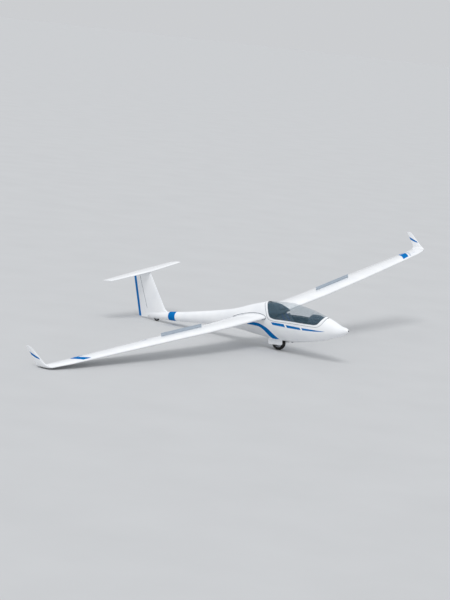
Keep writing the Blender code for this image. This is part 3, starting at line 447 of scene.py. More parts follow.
def loft(name, rings, finish=GELCOAT, closed=True):
    """A closed body through rings with the same number of points."""
    rings = np.asarray(rings, float)
    rows, count = rings.shape[:2]
    index = np.arange(rows * count).reshape(rows, count)
    ahead = np.roll(index, -1, axis=1)
    quads = np.stack((index[:-1], ahead[:-1], ahead[1:], index[1:]), axis=-1).reshape(-1, 4)
    faces = [tuple(int(i) for i in quad) for quad in quads]
    if closed:
        faces += [tuple(int(i) for i in index[0][::-1]), tuple(int(i) for i in index[-1])]
    mesh = bpy.data.meshes.new(name)
    mesh.from_pydata([tuple(point) for point in rings.reshape(-1, 3)], [], faces)
    bm = bmesh.new()
    bm.from_mesh(mesh)
    bmesh.ops.remove_doubles(bm, verts=bm.verts, dist=WELD)
    bmesh.ops.recalc_face_normals(bm, faces=bm.faces)
    bm.to_mesh(mesh)
    bm.free()
    mesh.materials.append(finish)
    mesh.shade_smooth()
    return link_object(name, mesh)


def finished(thing):
    """Applies what the modifiers of a thing make."""
    graph = bpy.context.evaluated_depsgraph_get()
    mesh = bpy.data.meshes.new_from_object(thing.evaluated_get(graph), depsgraph=graph)
    thing.modifiers.clear()
    thing.data = mesh
    return thing


def rounded(thing, width, segments=3):
    """Rounds the edges of a body."""
    bevel = thing.modifiers.new("edges", "BEVEL")
    bevel.width = width
    bevel.segments = segments
    bevel.limit_method = "ANGLE"
    bevel.angle_limit = radians(35.0)
    return finished(thing)


def turned(name, profile, place, finish=STEEL, sides=48, wrap=False):
    """A body of revolution about the local Z of a place, from (radius, height) points. A profile
    that isn't wrapped is closed straight to the axis where it ends away from it."""
    if not wrap:
        start, stop = ([(AXIS, height)] if radius > AXIS else []
                       for radius, height in (profile[0], profile[-1]))
        profile = start + list(profile) + stop
    angles = 2 * pi * np.arange(sides) / sides
    rings = [[place @ Vector((r * cos(a), r * sin(a), h)) for a in angles] for r, h in profile]
    if wrap:
        rings.append(rings[0])
    return loft(name, rings, finish, not wrap)


def headings(points):
    """Unit vectors along a line of points."""
    along = np.gradient(points, axis=0)
    return along / np.linalg.norm(along, axis=1, keepdims=True)


def tube(name, path, radius, finish=STEEL, sides=16):
    """A round bar along a smooth path. The radius may change along it."""
    path = smooth_line(path, 8)
    share = np.linspace(0.0, 1.0, len(path))
    radii = np.interp(share, np.linspace(0.0, 1.0, len(radius)), radius)
    along = headings(path)
    side = np.cross(along[0], (0.31, 0.52, 0.79))
    angles = 2 * pi * np.arange(sides) / sides
    rings = []
    for point, way, reach in zip(path, along, radii):
        side = side - way * side.dot(way)
        side /= np.linalg.norm(side)
        rings.append(point + reach * (np.outer(np.cos(angles), side)
                                      + np.outer(np.sin(angles), np.cross(way, side))))
    return loft(name, rings, finish)


def strap(name, path, width, across=(1.0, 0.0, 0.0), thick=0.0024):
    """Flat webbing along a smooth path, with rolled edges."""
    path = smooth_line(path, 10)
    along = headings(path)
    across = across - along * (along @ np.asarray(across))[:, None]
    across /= np.linalg.norm(across, axis=1, keepdims=True)
    up = np.cross(across, along)
    section = ((-0.5, 0.0), (-0.48, -0.5), (0.0, -0.4), (0.48, -0.5),
               (0.5, 0.0), (0.48, 0.5), (0.0, 0.4), (-0.48, 0.5))
    rings = np.stack([path + across * a * width + up * b * thick for a, b in section], axis=1)
    return loft(name, rings, WEBBING)


def discard(thing):
    """Takes a helper object out of the scene."""
    bpy.data.objects.remove(thing, do_unlink=True)


def joined(name, pieces):
    """One piece made of several bodies, each with its own material."""
    bm = bmesh.new()
    finishes = []
    for piece in pieces:
        start = len(bm.faces)
        bm.from_mesh(piece.data)
        bm.faces.ensure_lookup_table()
        for finish in piece.data.materials:
            if finish not in finishes:
                finishes.append(finish)
        for face in bm.faces[start:]:
            face.material_index = finishes.index(piece.data.materials[face.material_index])
        discard(piece)
    mesh = bpy.data.meshes.new(name)
    bm.to_mesh(mesh)
    bm.free()
    for finish in finishes:
        mesh.materials.append(finish)
    return link_object(name, mesh)


def prism(name, outline, x0, x1, finish=GELCOAT):
    """A side view outline of (y, z) points, carried across from x0 to x1."""
    return loft(name, [[(x, y, z) for y, z in outline] for x in (x0, x1)], finish)


def block(name, x, y, z, finish=GELCOAT, place=None):
    """A box from its three ranges, in a place or in the level frame."""
    bm = bmesh.new()
    size = Matrix.Diagonal((x[1] - x[0], y[1] - y[0], z[1] - z[0], 1.0))
    middle = Matrix.Translation((sum(x) / 2, sum(y) / 2, sum(z) / 2))
    bmesh.ops.create_cube(bm, size=1.0, matrix=(place or Matrix.Identity(4)) @ middle @ size)
    return from_bmesh(name, bm, finish)


def slab(name, x, y, z, finish, edge, segments=2, place=None):
    """A box with rounded edges."""
    return rounded(block(name, x, y, z, finish, place), edge, segments)


def rod(name, start, end, radius, finish=STEEL, sides=32):
    """A round bar between two points."""
    start, end = Vector(start), Vector(end)
    along = end - start
    turn = along.to_track_quat("Z", "Y").to_matrix().to_4x4()
    bm = bmesh.new()
    bmesh.ops.create_cone(bm, cap_ends=True, segments=sides, radius1=radius, radius2=radius,
                          depth=along.length, matrix=Matrix.Translation((start + end) / 2) @ turn)
    return from_bmesh(name, bm, finish)


def boolean(target, tools, operation="DIFFERENCE"):
    """Cuts or joins with exact Booleans and keeps the result. The tools are used up."""
    for tool in tools:
        change = target.modifiers.new(tool.name, "BOOLEAN")
        change.operation = operation
        change.solver = "EXACT"
        change.material_mode = "TRANSFER"
        change.object = tool
    finished(target)
    for tool in tools:
        discard(tool)
    fill_slivers(target)
    return target


def fill_slivers(thing):
    """Closes the triangles that an exact Boolean can leave open along edges that nearly meet."""
    bm = bmesh.new()
    bm.from_mesh(thing.data)
    rims = [edge for edge in bm.edges if edge.is_boundary]
    if rims:
        bmesh.ops.holes_fill(bm, edges=rims, sides=3)
        bm.to_mesh(thing.data)
    bm.free()


def copy_of(thing, name):
    """A second object with its own mesh."""
    return link_object(name, thing.data.copy())


def follow(made, source, reach=0.0004):
    """Gives what is left of a cut skin the normals of the whole skin that it was cut from."""
    whole, mesh = source.data, made.data
    points = [vert.co for vert in whole.vertices]
    tree = BVHTree.FromPolygons(points, [polygon.vertices for polygon in whole.polygons])
    known = {tuple(round(v, 5) for v in vert.co): vert.normal.copy() for vert in whole.vertices}
    normals = [Vector(corner.vector) for corner in mesh.corner_normals]
    for polygon in mesh.polygons:
        spot, facing, index, distance = tree.find_nearest(polygon.center)
        if distance is None or distance > reach + 0.02 * sqrt(polygon.area):
            continue
        if facing.dot(polygon.normal) < 0.85:
            continue
        for loop in polygon.loop_indices:
            here = mesh.vertices[mesh.loops[loop].vertex_index].co
            normal = known.get(tuple(round(v, 5) for v in here))
            if normal is None:
                spot, facing, index, distance = tree.find_nearest(here)
                corners = list(whole.polygons[index].vertices)
                weights = poly_3d_calc([points[i] for i in corners], spot)
                normal = sum((whole.vertices[i].normal * w for i, w in zip(corners, weights)),
                             Vector())
            normals[loop] = normal.normalized()
    mesh.normals_split_custom_set(normals)


def turned_at(point, angle, axis):
    """A place at a point, turned about one axis."""
    return Matrix.Translation(point) @ Matrix.Rotation(angle, 4, axis)


def carry(made, replaces=None, body="airframe", sharp=30.0, source=None):
    """Takes a finished piece into the parked attitude and onto its body."""
    made.data.shade_smooth()
    made.data.set_sharp_from_angle(angle=radians(sharp))
    if source is not None:
        follow(made, source)
    made.data.transform(PARKED @ made.matrix_world)
    made.matrix_world = Matrix.Identity(4)
    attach(made, body)
    if replaces:
        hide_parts(replaces)


# Curves and surfaces of the aircraft

def between(one, other, steps):
    """Lines or rings spread evenly from one to another."""
    t = np.linspace(0.0, 1.0, steps)[:, None, None]
    return one * (1 - t) + other * t


def monotone(table_x, table_y, x):
    """Smooth interpolation that never overshoots its table."""
    x = np.asarray(x, float)
    step = np.diff(table_x)
    slope = np.diff(table_y) / step
    tangent = np.zeros(len(table_x))
    tangent[0], tangent[-1] = slope[0], slope[-1]
    for i in range(1, len(slope)):
        a, b = slope[i - 1], slope[i]
        if a * b > 0:
            w1 = 2 * step[i] + step[i - 1]
            w2 = step[i] + 2 * step[i - 1]
            tangent[i] = (w1 + w2) / (w1 / a + w2 / b)
    i = np.clip(np.searchsorted(table_x, x) - 1, 0, len(slope) - 1)
    t = (x - table_x[i]) / step[i]
    return ((1 + 2 * t) * (1 - t) ** 2 * table_y[i] + t * (1 - t) ** 2 * step[i] * tangent[i]
            + t * t * (3 - 2 * t) * table_y[i + 1] - t * t * (1 - t) * step[i] * tangent[i + 1])


def smooth_line(points, steps):
    """A curve through given points, with the same steps between each two."""
    points = np.asarray(points, float)
    apart = np.linalg.norm(np.diff(points, axis=0), axis=1)[:, None]
    slope = np.diff(points, axis=0) / apart
    tangent = np.vstack((slope[:1], (slope[:-1] * apart[1:] + slope[1:] * apart[:-1])
                         / (apart[:-1] + apart[1:]), slope[-1:]))
    made = []
    for i in range(len(slope)):
        a, b, h = points[i], points[i + 1], apart[i]
        for t in np.arange(steps) / steps:
            made.append((1 + 2 * t) * (1 - t) ** 2 * a + t * (1 - t) ** 2 * h * tangent[i]
                        + t * t * (3 - 2 * t) * b - t * t * (1 - t) * h * tangent[i + 1])
    made.append(points[-1])
    return np.array(made)


def points_of(*columns):
    """Points from their coordinates, each a number or an array."""
    return np.stack(np.broadcast_arrays(*columns), axis=-1)


def sideways(along):
    """The directions across a flat line of (y, z) headings."""
    return points_of(along[:, 1], -along[:, 0])


def fuselage_size(y):
    """Top z, bottom z, half width and waist z at a station; the square root rounds the nose."""
    root = np.sqrt(FUSELAGE[:, 0])
    top, bottom, half = [monotone(root, FUSELAGE[:, column], np.sqrt(y)) for column in (1, 2, 3)]
    return top, bottom, half, (top + bottom) / 2 - WAIST_DROP * (top - bottom)


def fuselage_point(y, angle, inset=0.0, floor=-10.0):
    """Points of the skin by station and angle round the section."""
    y, angle = np.broadcast_arrays(np.asarray(y, float), np.asarray(angle, float))
    top, bottom, half, waist = fuselage_size(y)
    rise = np.where(np.sin(angle) > 0, top - inset - waist, waist - bottom - inset)
    z = np.maximum(waist + rise * np.sin(angle), floor)
    return points_of((half - inset) * np.cos(angle), y, z)


def fuselage_side(y, z, side):
    """Points of the skin by station and height, on one side."""
    y, z = np.broadcast_arrays(np.asarray(y, float), np.asarray(z, float))
    top, bottom, half, waist = fuselage_size(y)
    rise = np.where(z > waist, top - waist, waist - bottom)
    share = np.clip(1 - ((z - waist) / rise) ** 2, 0.0, 1.0)
    return points_of(side * half * np.sqrt(share), y, z)


def fuselage_steps():
    """Stations along the fuselage, close at the nose and wide along the boom."""
    nose = 0.45 * np.linspace(0.08, 1.0, 24) ** 2
    pod = np.arange(0.48, 3.20, 0.03)
    boom = np.append(np.arange(3.24, 6.40, 0.07), 6.43)
    return np.concatenate((nose, pod, boom))


AROUND = 2 * pi * np.arange(FUSELAGE_SIDES) / FUSELAGE_SIDES


def fuselage_loft(name, inset=0.0, reach=(0.0, 7.0), finish=GELCOAT):
    """The fuselage or a stretch of it, drawn in by an inset."""
    steps = [y for y in fuselage_steps() if reach[0] <= y <= reach[1]]
    return loft(name, [fuselage_point(y, AROUND, inset) for y in steps], finish)


def foil_half(fraction, thickness):
    """Half thickness of a wing section at a fraction of its chord, for a chord of 1."""
    return 5 * thickness * (0.2969 * np.sqrt(fraction) - 0.1260 * fraction - 0.3516 * fraction ** 2
                            + 0.2843 * fraction ** 3 - 0.1036 * fraction ** 4)


def foil_camber(fraction, camber):
    """Height of a section's middle line at a fraction of its chord, for a chord of 1."""
    return 4 * camber * fraction * (1 - fraction)


def foil_heights(c, chord, thickness, camber=0.0):
    """Heights of a section's upper and lower line at fractions of its chord."""
    middle = foil_camber(c, camber) * chord
    half = foil_half(c, thickness) * chord + TRAILING_HALF * c
    return middle + half, middle - half


def foil_ring(chord, thickness, camber=0.0, points=34):
    """A section as (chordwise, upward) points, from the upper trailing edge round and back."""
    c = 0.5 * (1 - np.cos(pi * np.arange(points + 1) / points))
    upper, lower = (points_of(c * chord, line)
                    for line in foil_heights(c, chord, thickness, camber))
    return np.vstack((upper[::-1], lower[1:]))


def wing_at(x):
    """Leading edge y, chord and z of the wing at a distance from the centre."""
    return [np.interp(x, WING[:, 0], WING[:, column]) for column in (1, 2, 3)]


def wing_ring(x, side):
    """Section of the wing at a distance from the centre, rounded into the root fairing."""
    if x < FAIRING_END:
        measures = [monotone(WING[:6, 0], WING[:6, column], x) for column in range(1, 6)]
    else:
        measures = [np.interp(x, WING[:, 0], WING[:, column]) for column in range(1, 6)]
    leading, chord, z, thickness, droop = measures
    ring = foil_ring(chord, thickness, WING_CAMBER)
    ring[:, 1] -= droop * (ring[:, 0] / chord) ** 2
    return standing(ring + (leading, z), side * x)


def wing_top(x, c, side):
    """Points of the wing's upper skin by span and fraction of the chord."""
    x, c = np.broadcast_arrays(np.asarray(x, float), np.asarray(c, float))
    leading, chord, z = wing_at(x)
    rise = foil_heights(c, chord, WING_THICKNESS, WING_CAMBER)[0]
    return points_of(side * x, leading + c * chord, z + rise)


def nose_arc(axis_y, axis_z, radius, nose=18):
    """The half circle ahead of a hinge, from its top round to its foot."""
    a = pi / 2 + pi * np.arange(nose + 1) / nose
    return points_of(axis_y + radius * np.cos(a), axis_z + radius * np.sin(a))


def flap_ring(axis_y, axis_z, radius, leading, chord, z, thickness, camber, points=16):
    """Section of a control surface: a half-round nose on its hinge, then the wing's own outline."""
    start = (axis_y - leading) / chord
    c = start + (1 - start) * np.arange(1, points + 1) / points
    upper, lower = (points_of(leading + c * chord, z + line)
                    for line in foil_heights(c, chord, thickness, camber))
    return np.vstack((upper[::-1], nose_arc(axis_y, axis_z, radius), lower))


def cove_ring(axis_y, axis_z, radius, reach):
    """Section of the space that a control surface turns in."""
    return np.vstack(([(axis_y + reach, axis_z + radius)], nose_arc(axis_y, axis_z, radius),
                      [(axis_y + reach, axis_z - radius)]))


def standing(ring, x):
    """Section points at a span station as 3-D points."""
    return points_of(x, ring[:, 0], ring[:, 1])


def lying(ring, z):
    """Section points of an upright surface at a height as 3-D points."""
    return points_of(ring[:, 1], ring[:, 0], z)


def film(name, surface, one, other, facing=None, finish=BLUE, rows=7, body="airframe"):
    """A thin self-adhesive film on a skin, between two lines in the skin's own measures. It faces
    a direction, or away from the axis of the boom."""
    spread = between(np.asarray(one, float), np.asarray(other, float), rows)
    points = surface(spread[..., 0], spread[..., 1])
    across = np.cross(np.gradient(points, axis=0), np.gradient(points, axis=1))
    across /= np.maximum(np.linalg.norm(across, axis=-1, keepdims=True), 1e-12)
    way = points - points * (0.0, 1.0, 0.0) - (0.0, 0.0, BOOM_Z) if facing is None else facing
    across *= np.where((across * way).sum(axis=-1, keepdims=True) < 0, -1.0, 1.0)
    outer, inner = points + FILM_RISE * across, points - FILM_SINK * across
    sheet = np.concatenate((outer, inner[:, ::-1]), axis=1)
    rims = [np.concatenate((outer[row], outer[row, ::-1]))[None] for row in (0, -1)]
    carry(loft(name, np.concatenate((rims[0], sheet, rims[1])), finish, closed=False),
          body=body)


# Fuselage and canopy

def pinned(surface, name, start, stop, bore_start=None):
    """Bores the end of a control surface and sets the short pin that it turns on."""
    past = (stop - start).normalized() * PIN_PLAY
    boolean(surface, [rod("bore", start if bore_start is None else bore_start, stop + past,
                          PIN_BORE)])
    carry(rod(name, start, stop, PIN_RADIUS))


def canopy_outline(inward, edge=CANOPY_EDGE, steps=10):
    """One of the canopy's side view outlines, moved inward by a distance."""
    points = smooth_line(edge, steps)
    return points + sideways(headings(points)) * inward


def canopy_prism(name, inward, finish=GELCOAT, edge=CANOPY_EDGE):
    """A canopy outline carried right across the fuselage."""
    return prism(name, canopy_outline(inward, edge), -0.5, 0.5, finish)


def cockpit_hollow(clear=0.0):
    """The inside of the pod, level over the floor and over the higher rear shelf, drawn in by a
    clearance."""
    steps = np.concatenate((np.arange(COCKPIT_REACH[0], SHELF_START - 0.01, 0.03),
                            [SHELF_START - 0.001, SHELF_START + 0.001],
                            np.arange(SHELF_START + 0.03, COCKPIT_REACH[1], 0.03)))
    floors = np.where(steps < SHELF_START, COCKPIT_FLOOR, SHELF_FLOOR) + clear
    rings = [fuselage_point(y, AROUND, SHELL + clear, floor) for y, floor in zip(steps, floors)]
    return loft("cockpit_hollow", rings, LINER)


def canopy_axis():
    """The middle of the canopy's hinge, just under the skin."""
    top = float(fuselage_size(CANOPY_AXIS_Y)[0])
    return Vector((0.0, CANOPY_AXIS_Y, top - CANOPY_AXIS_SINK))


def build_fuselage():
    """Shell, canopy frame and glass, cut from one skin."""
    whole = fuselage_loft("whole_skin")
    near = (0.40, 2.60)
    rebate = fuselage_loft("rebate", -0.05, near)
    boolean(rebate, [fuselage_loft("rebate_floor", CANOPY_FRAME_DEPTH + RUN_GAP, near)])
    boolean(rebate, [canopy_prism("rebate_edge", 0.0)], "INTERSECT")
    body = copy_of(whole, "fuselage_skin")
    boolean(body, [cockpit_hollow(), rebate, canopy_prism("cockpit_opening", CANOPY_LEDGE),
                   block("wheel_well", *WELL, LINER), block("tail_well", *TAIL_WELL, LINER),
                   # The nose opening's bore takes the black of its cutter, as painted shade deep
                   # inside the opening
                   rod("nose_vent", (0.0, -0.01, 0.0), (0.0, 0.045, 0.0), 0.016, BLACK)])

    axis, across = canopy_axis(), Vector((1.0, 0.0, 0.0))
    pin, barrel, knuckle, ends = CANOPY_HINGE
    reliefs = [rod(f"hinge_relief_{side}",
                   axis + across * side * (knuckle + 0.002) - across * side * 0.002,
                   axis + across * side * ends + across * side * RUN_GAP, barrel + RUN_GAP,
                   GELCOAT) for side in (PORT, STARBOARD)]
    rim = copy_of(whole, "canopy_rim")
    boolean(rim, [canopy_prism("rim_edge", RUN_GAP)], "INTERSECT")
    boolean(rim, [fuselage_loft("rim_inside", CANOPY_FRAME_DEPTH, near, LINER),
                  canopy_prism("rim_window", 0.0, LINER, WINDOW_EDGE), *reliefs])
    boolean(rim, [rod("knuckle", axis - across * knuckle, axis + across * knuckle, barrel)],
            "UNION")
    boolean(rim, [rod("knuckle_bore", axis - across * ends, axis + across * ends, pin + FIT_GAP)])
    seat = across * (knuckle + 0.0019)
    boolean(body, [rod("hinge_seat", axis - seat, axis + seat, barrel + RUN_GAP, GELCOAT)])

    glass = copy_of(whole, "canopy_glazing")
    glass.data.materials[0] = GLASS
    boolean(glass, [canopy_prism("glass_edge", FIT_GAP, GLASS, WINDOW_EDGE)], "INTERSECT")
    boolean(glass, [fuselage_loft("glass_inside", GLASS_DEPTH, near, GLASS)])

    carry(body, "fuselage", source=whole)
    carry(rim, "canopy_frame", "canopy", source=whole)
    carry(glass, "canopy_glass", "canopy", source=whole)
    discard(whole)


def build_fuselage_films():
    """Blue side stripes in three pieces, the sweep under the wing and the band round the boom."""
    # Each stripe: upper line and lower line, both from the rear to the front, as (y, z)
    stripes = (
        (((2.104, 0.161), (2.000, 0.159), (1.839, 0.148), (1.699, 0.135)),
         ((2.056, 0.099), (1.904, 0.084), (1.745, 0.070), (1.666, 0.060))),
        (((1.646, 0.121), (1.417, 0.095), (1.238, 0.072)),
         ((1.606, 0.053), (1.423, 0.036), (1.212, 0.016))),
        (((1.190, 0.068), (1.051, 0.055), (0.875, 0.036), (0.701, 0.016), (0.552, 0.002)),
         ((1.160, 0.012), (1.003, 0.004), (0.825, -0.004), (0.704, -0.005), (0.552, -0.001))),
    )
    outer = ((2.935, 0.100), (2.663, 0.112), (2.526, 0.100), (2.390, 0.062), (2.240, -0.012),
             (2.140, -0.108), (2.059, -0.200), (1.998, -0.286))
    inner = ((2.945, 0.046), (2.680, 0.030), (2.541, 0.014), (2.405, -0.050), (2.320, -0.140),
             (2.262, -0.240), (2.236, -0.290), (2.225, -0.320))
    for side, word in SIDES:
        skin = partial(fuselage_side, side=side)
        for number, (upper, lower) in enumerate(stripes, 1):
            film(f"side_stripe_{number}_{word}", skin, smooth_line(upper, 12),
                 smooth_line(lower, 12))
        film(f"belly_sweep_{word}", skin, smooth_line(outer, 12), smooth_line(inner, 12), rows=11)
    turns = np.linspace(0.0, 2 * pi, 97)
    film("boom_band", fuselage_point, *(points_of(y, turns) for y in (5.40, 5.63)))


def wing_root_line():
    """Where the wing's section meets the side of the fuselage, as (y, z) points from the upper
    trailing edge round."""
    grid = np.linspace(WING[0][0], FAIRING_END, 40)
    rings = np.array([wing_ring(x, PORT) for x in grid])
    gap = rings[..., 0] - fuselage_side(rings[..., 1], rings[..., 2], PORT)[..., 0]
    after = np.argmax(gap > 0, axis=0)
    column = np.arange(rings.shape[1])
    share = (gap[after, column] / (gap[after, column] - gap[after - 1, column]))[:, None]
    return (rings[after, column] * (1 - share) + rings[after - 1, column] * share)[:, 1:]


def build_painted_joint_shade():
    """Painted shade: thin grey bands on the skin beside the canopy's parting line and round the
    wing roots, which stand in for the shade of these joints, and the grey rim round the opening in
    the nose.
    """
    inner, outer = canopy_outline(0.0, steps=6), canopy_outline(-0.010, steps=6)
    narrowed = np.interp(inner[:, 1], (0.20, 0.27), (0.45, 1.0))[:, None]
    outer = inner + (outer - inner) * narrowed
    on_skin = np.ones(len(inner), bool)
    for line in (inner, outer):
        on_skin &= line[:, 1] < fuselage_size(line[:, 0])[0] - 0.003
    root = wing_root_line()[2:-2]
    away = sideways(headings(root))
    for side, word in SIDES:
        skin = partial(fuselage_side, side=side)
        # Painted shade: a grey band on the skin outside the canopy's parting line widens the shade
        # of the gap
        film(f"canopy_gap_painted_shade_{word}", skin, outer[on_skin], inner[on_skin], None, SEAL_GREY_AND_PAINTED_SHADE, 3)
        # Painted shade: a grey band on the fuselage round the wing root, where the joint lies in
        # shade
        film(f"wing_root_painted_shade_{word}", skin, root + 0.015 * away, root + 0.004 * away, None,
             SEAL_GREY_AND_PAINTED_SHADE, 3)
    # The raised rim round the nose opening is grey as painted shade of the opening
    profile = ((0.0157, -0.0060), (0.0157, -0.0022), (0.0166, -0.0016), (0.0180, -0.0030),
               (0.0186, -0.0060))
    carry(turned("nose_vent_rim", profile, Matrix.Rotation(pi / 2, 4, "X"), SEAL_GREY_AND_PAINTED_SHADE, 48, True))


# Wings

def aileron_radius(chord):
    """Radius of the aileron's nose at a chord of the wing."""
    return (foil_half(AILERON_HINGE, WING_THICKNESS) * chord
            + TRAILING_HALF * AILERON_HINGE)


def build_wing(side, word, skin):
    """Wing half with its aileron and airbrake."""
    stations = np.concatenate((np.linspace(0.10, FAIRING_END, 14), np.arange(0.50, 7.35, 0.10),
                               [7.40]))
    whole = loft(f"whole_wing_{word}", [wing_ring(x, side) for x in stations])
    wing = copy_of(whole, f"wing_skin_{word}")

    inner, outer = AILERON_SPAN
    flaps, coves, centres = [], [], []
    for x, inset in ((inner, RUN_GAP), (outer, -RUN_GAP)):
        leading, chord, z = wing_at(x)
        axis_y = leading + AILERON_HINGE * chord
        axis_z = z + foil_camber(AILERON_HINGE, WING_CAMBER) * chord
        radius = aileron_radius(chord)
        centres.append(Vector((side * x, axis_y, axis_z)))
        coves.append(standing(cove_ring(axis_y, axis_z, radius + RUN_GAP, 0.3), side * x))
        flaps.append(standing(flap_ring(axis_y, axis_z, radius, leading, chord, z,
                                        WING_THICKNESS, WING_CAMBER), side * (x + inset)))
    aileron = loft(f"aileron_skin_{word}", between(*flaps, 15))
    boolean(wing, [copy_of(skin, f"root_{word}"), loft(f"aileron_bay_{word}", coves),
                   *build_airbrake(side, word)])
    carry(wing, f"wing_{word}", source=whole)
    discard(whole)

    along = (centres[1] - centres[0]).normalized()
    for number, (centre, inward) in enumerate(zip(centres, (along, -along))):
        pinned(aileron, f"aileron_pin_{word}_{number}", centre - inward * 0.010,
               centre + inward * 0.020, centre)
    carry(aileron, f"aileron_{word}", f"aileron_{word}")


def build_airbrake(side, word):
    """Upright ribbed blade with a cap strip. Returns the cutters of its slot."""
    feet = []
    for x in AIRBRAKE_SPAN:
        leading, chord, z = wing_at(x)
        rise = foil_camber(AIRBRAKE_CHORD, WING_CAMBER) + foil_half(AIRBRAKE_CHORD, WING_THICKNESS)
        feet.append(Vector((side * x, leading + AIRBRAKE_CHORD * chord, z + rise * chord)))
    along = (feet[1] - feet[0]).normalized()
    forward = Vector((0.0, 1.0, 0.0))
    forward = (forward - along * forward.dot(along)).normalized()
    up = along.cross(forward) * side
    length = (feet[1] - feet[0]).length
    place = Matrix((along, forward, up)).transposed().to_4x4()
    place.translation = feet[0]

    half, cap_half, cap_depth = AIRBRAKE_BLADE / 2, AIRBRAKE_CAP[0] / 2, AIRBRAKE_CAP[1]
    top = AIRBRAKE_TRAVEL
    foot = top - AIRBRAKE_HEIGHT
    blade = block(f"brake_blade_{word}", (0.0, length), (-half + 0.0015, half - 0.0015),
                  (foot, top - cap_depth / 2), BRAKE_GREY, place)
    ribs = round(length / 0.05)
    for number in range(ribs):
        x = length * (number + 0.5) / ribs
        boolean(blade, [block(f"rib_{number}", (x - 0.008, x + 0.008), (-half, half),
                              (foot + 0.006, top - cap_depth), BRAKE_GREY, place)], "UNION")
    cap = block(f"brake_cap_{word}", (0.0, length), (-cap_half, cap_half),
                (top - cap_depth, top), BRAKE_GREY, place)
    carry(blade, f"airbrake_{word}", f"airbrake_{word}")
    carry(cap, body=f"airbrake_{word}")
    # The recess of the cap ends past the slot of the blade, so that no two cut planes coincide
    slack, wider = 0.0004, 0.0009
    return [block(f"brake_slot_{word}", (-slack, length + slack),
                  (-half - RUN_GAP, half + RUN_GAP), (-AIRBRAKE_HEIGHT - 0.001, 0.05), TRIM, place),
            block(f"brake_recess_{word}", (-wider, length + wider),
                  (-cap_half - RUN_GAP, cap_half + RUN_GAP), (-cap_depth - 0.001, 0.05), GELCOAT,
                  place)]


def winglet_at(share):
    """The winglet along its bent spine: rise, out, lean, leading edge, chord, thickness."""
    spine = np.hypot(np.diff(WINGLET[:, 0]), np.diff(WINGLET[:, 1]))
    reach = np.append(0.0, np.cumsum(spine))
    return [monotone(reach / reach[-1], WINGLET[:, column], share) for column in range(6)]


def on_winglet(side, measures, chordwise, up):
    """Points of the winglet's section, leant over and set on the wing's tip."""
    rise, out, lean, leading = measures[:4]
    tilt = np.radians(lean)
    return points_of(side * (WING[-1][0] + out - up * np.sin(tilt)), leading + chordwise,
                     WING[-1][3] + rise + up * np.cos(tilt))


def winglet_camber(lean):
    """The camber, which fades from the wing's to none where the winglet stands up."""
    return WING_CAMBER * (1 - lean / WINGLET[-1][2])


def winglet_ring(share, side):
    """Section of the winglet at a share of its bent spine."""
    measures = winglet_at(share)
    ring = foil_ring(*measures[4:], winglet_camber(measures[2]))
    return on_winglet(side, measures, *ring.T)


def build_winglet(side, word):
    """The winglet with its curved foot, bedded on the wing's end."""
    shares = np.concatenate((np.linspace(0.0, 0.3, 20), np.linspace(0.33, 0.96, 22),
                             1 - 0.04 * (1 - np.sin(np.linspace(0.1, pi / 2, 8)))))
    winglet = loft(f"winglet_skin_{word}", [winglet_ring(share, side) for share in shares])
    carry(winglet, f"winglet_{word}")


def winglet_skin(side, way):
    """The winglet's inner (way 1) or outer (way -1) skin, by rise over the wing's tip and
    fraction of the chord."""
    shares = np.linspace(0.0, 1.0, 200)
    rises = winglet_at(shares)[0]

    def skin(rise, c):
        measures = winglet_at(np.interp(rise, rises, shares))
        chord, thickness = measures[4:]
        heights = foil_heights(c, chord, thickness, winglet_camber(measures[2]))
        return on_winglet(side, measures, c * chord, heights[0 if way > 0 else 1])
    return skin


def build_aileron_seals():
    """The dark sealing tape on the wing's upper side, ahead of each aileron up to its blue band."""
    for side, word, end in ((PORT, "left", 6.52), (STARBOARD, "right", 6.18)):
        x = np.linspace(AILERON_SPAN[0] + 0.01, end, 40)
        chord = np.array([wing_at(place)[1] for place in x])
        radius = aileron_radius(chord)
        lip = np.sqrt((radius + RUN_GAP) ** 2 - radius ** 2)
        edges = [points_of(x, AILERON_HINGE - (lip + ahead) / chord) for ahead in SEAL_REACH]
        film(f"aileron_seal_{word}", partial(wing_top, side=side), *edges, UPWARD, SEAL_GREY_AND_PAINTED_SHADE, 3)


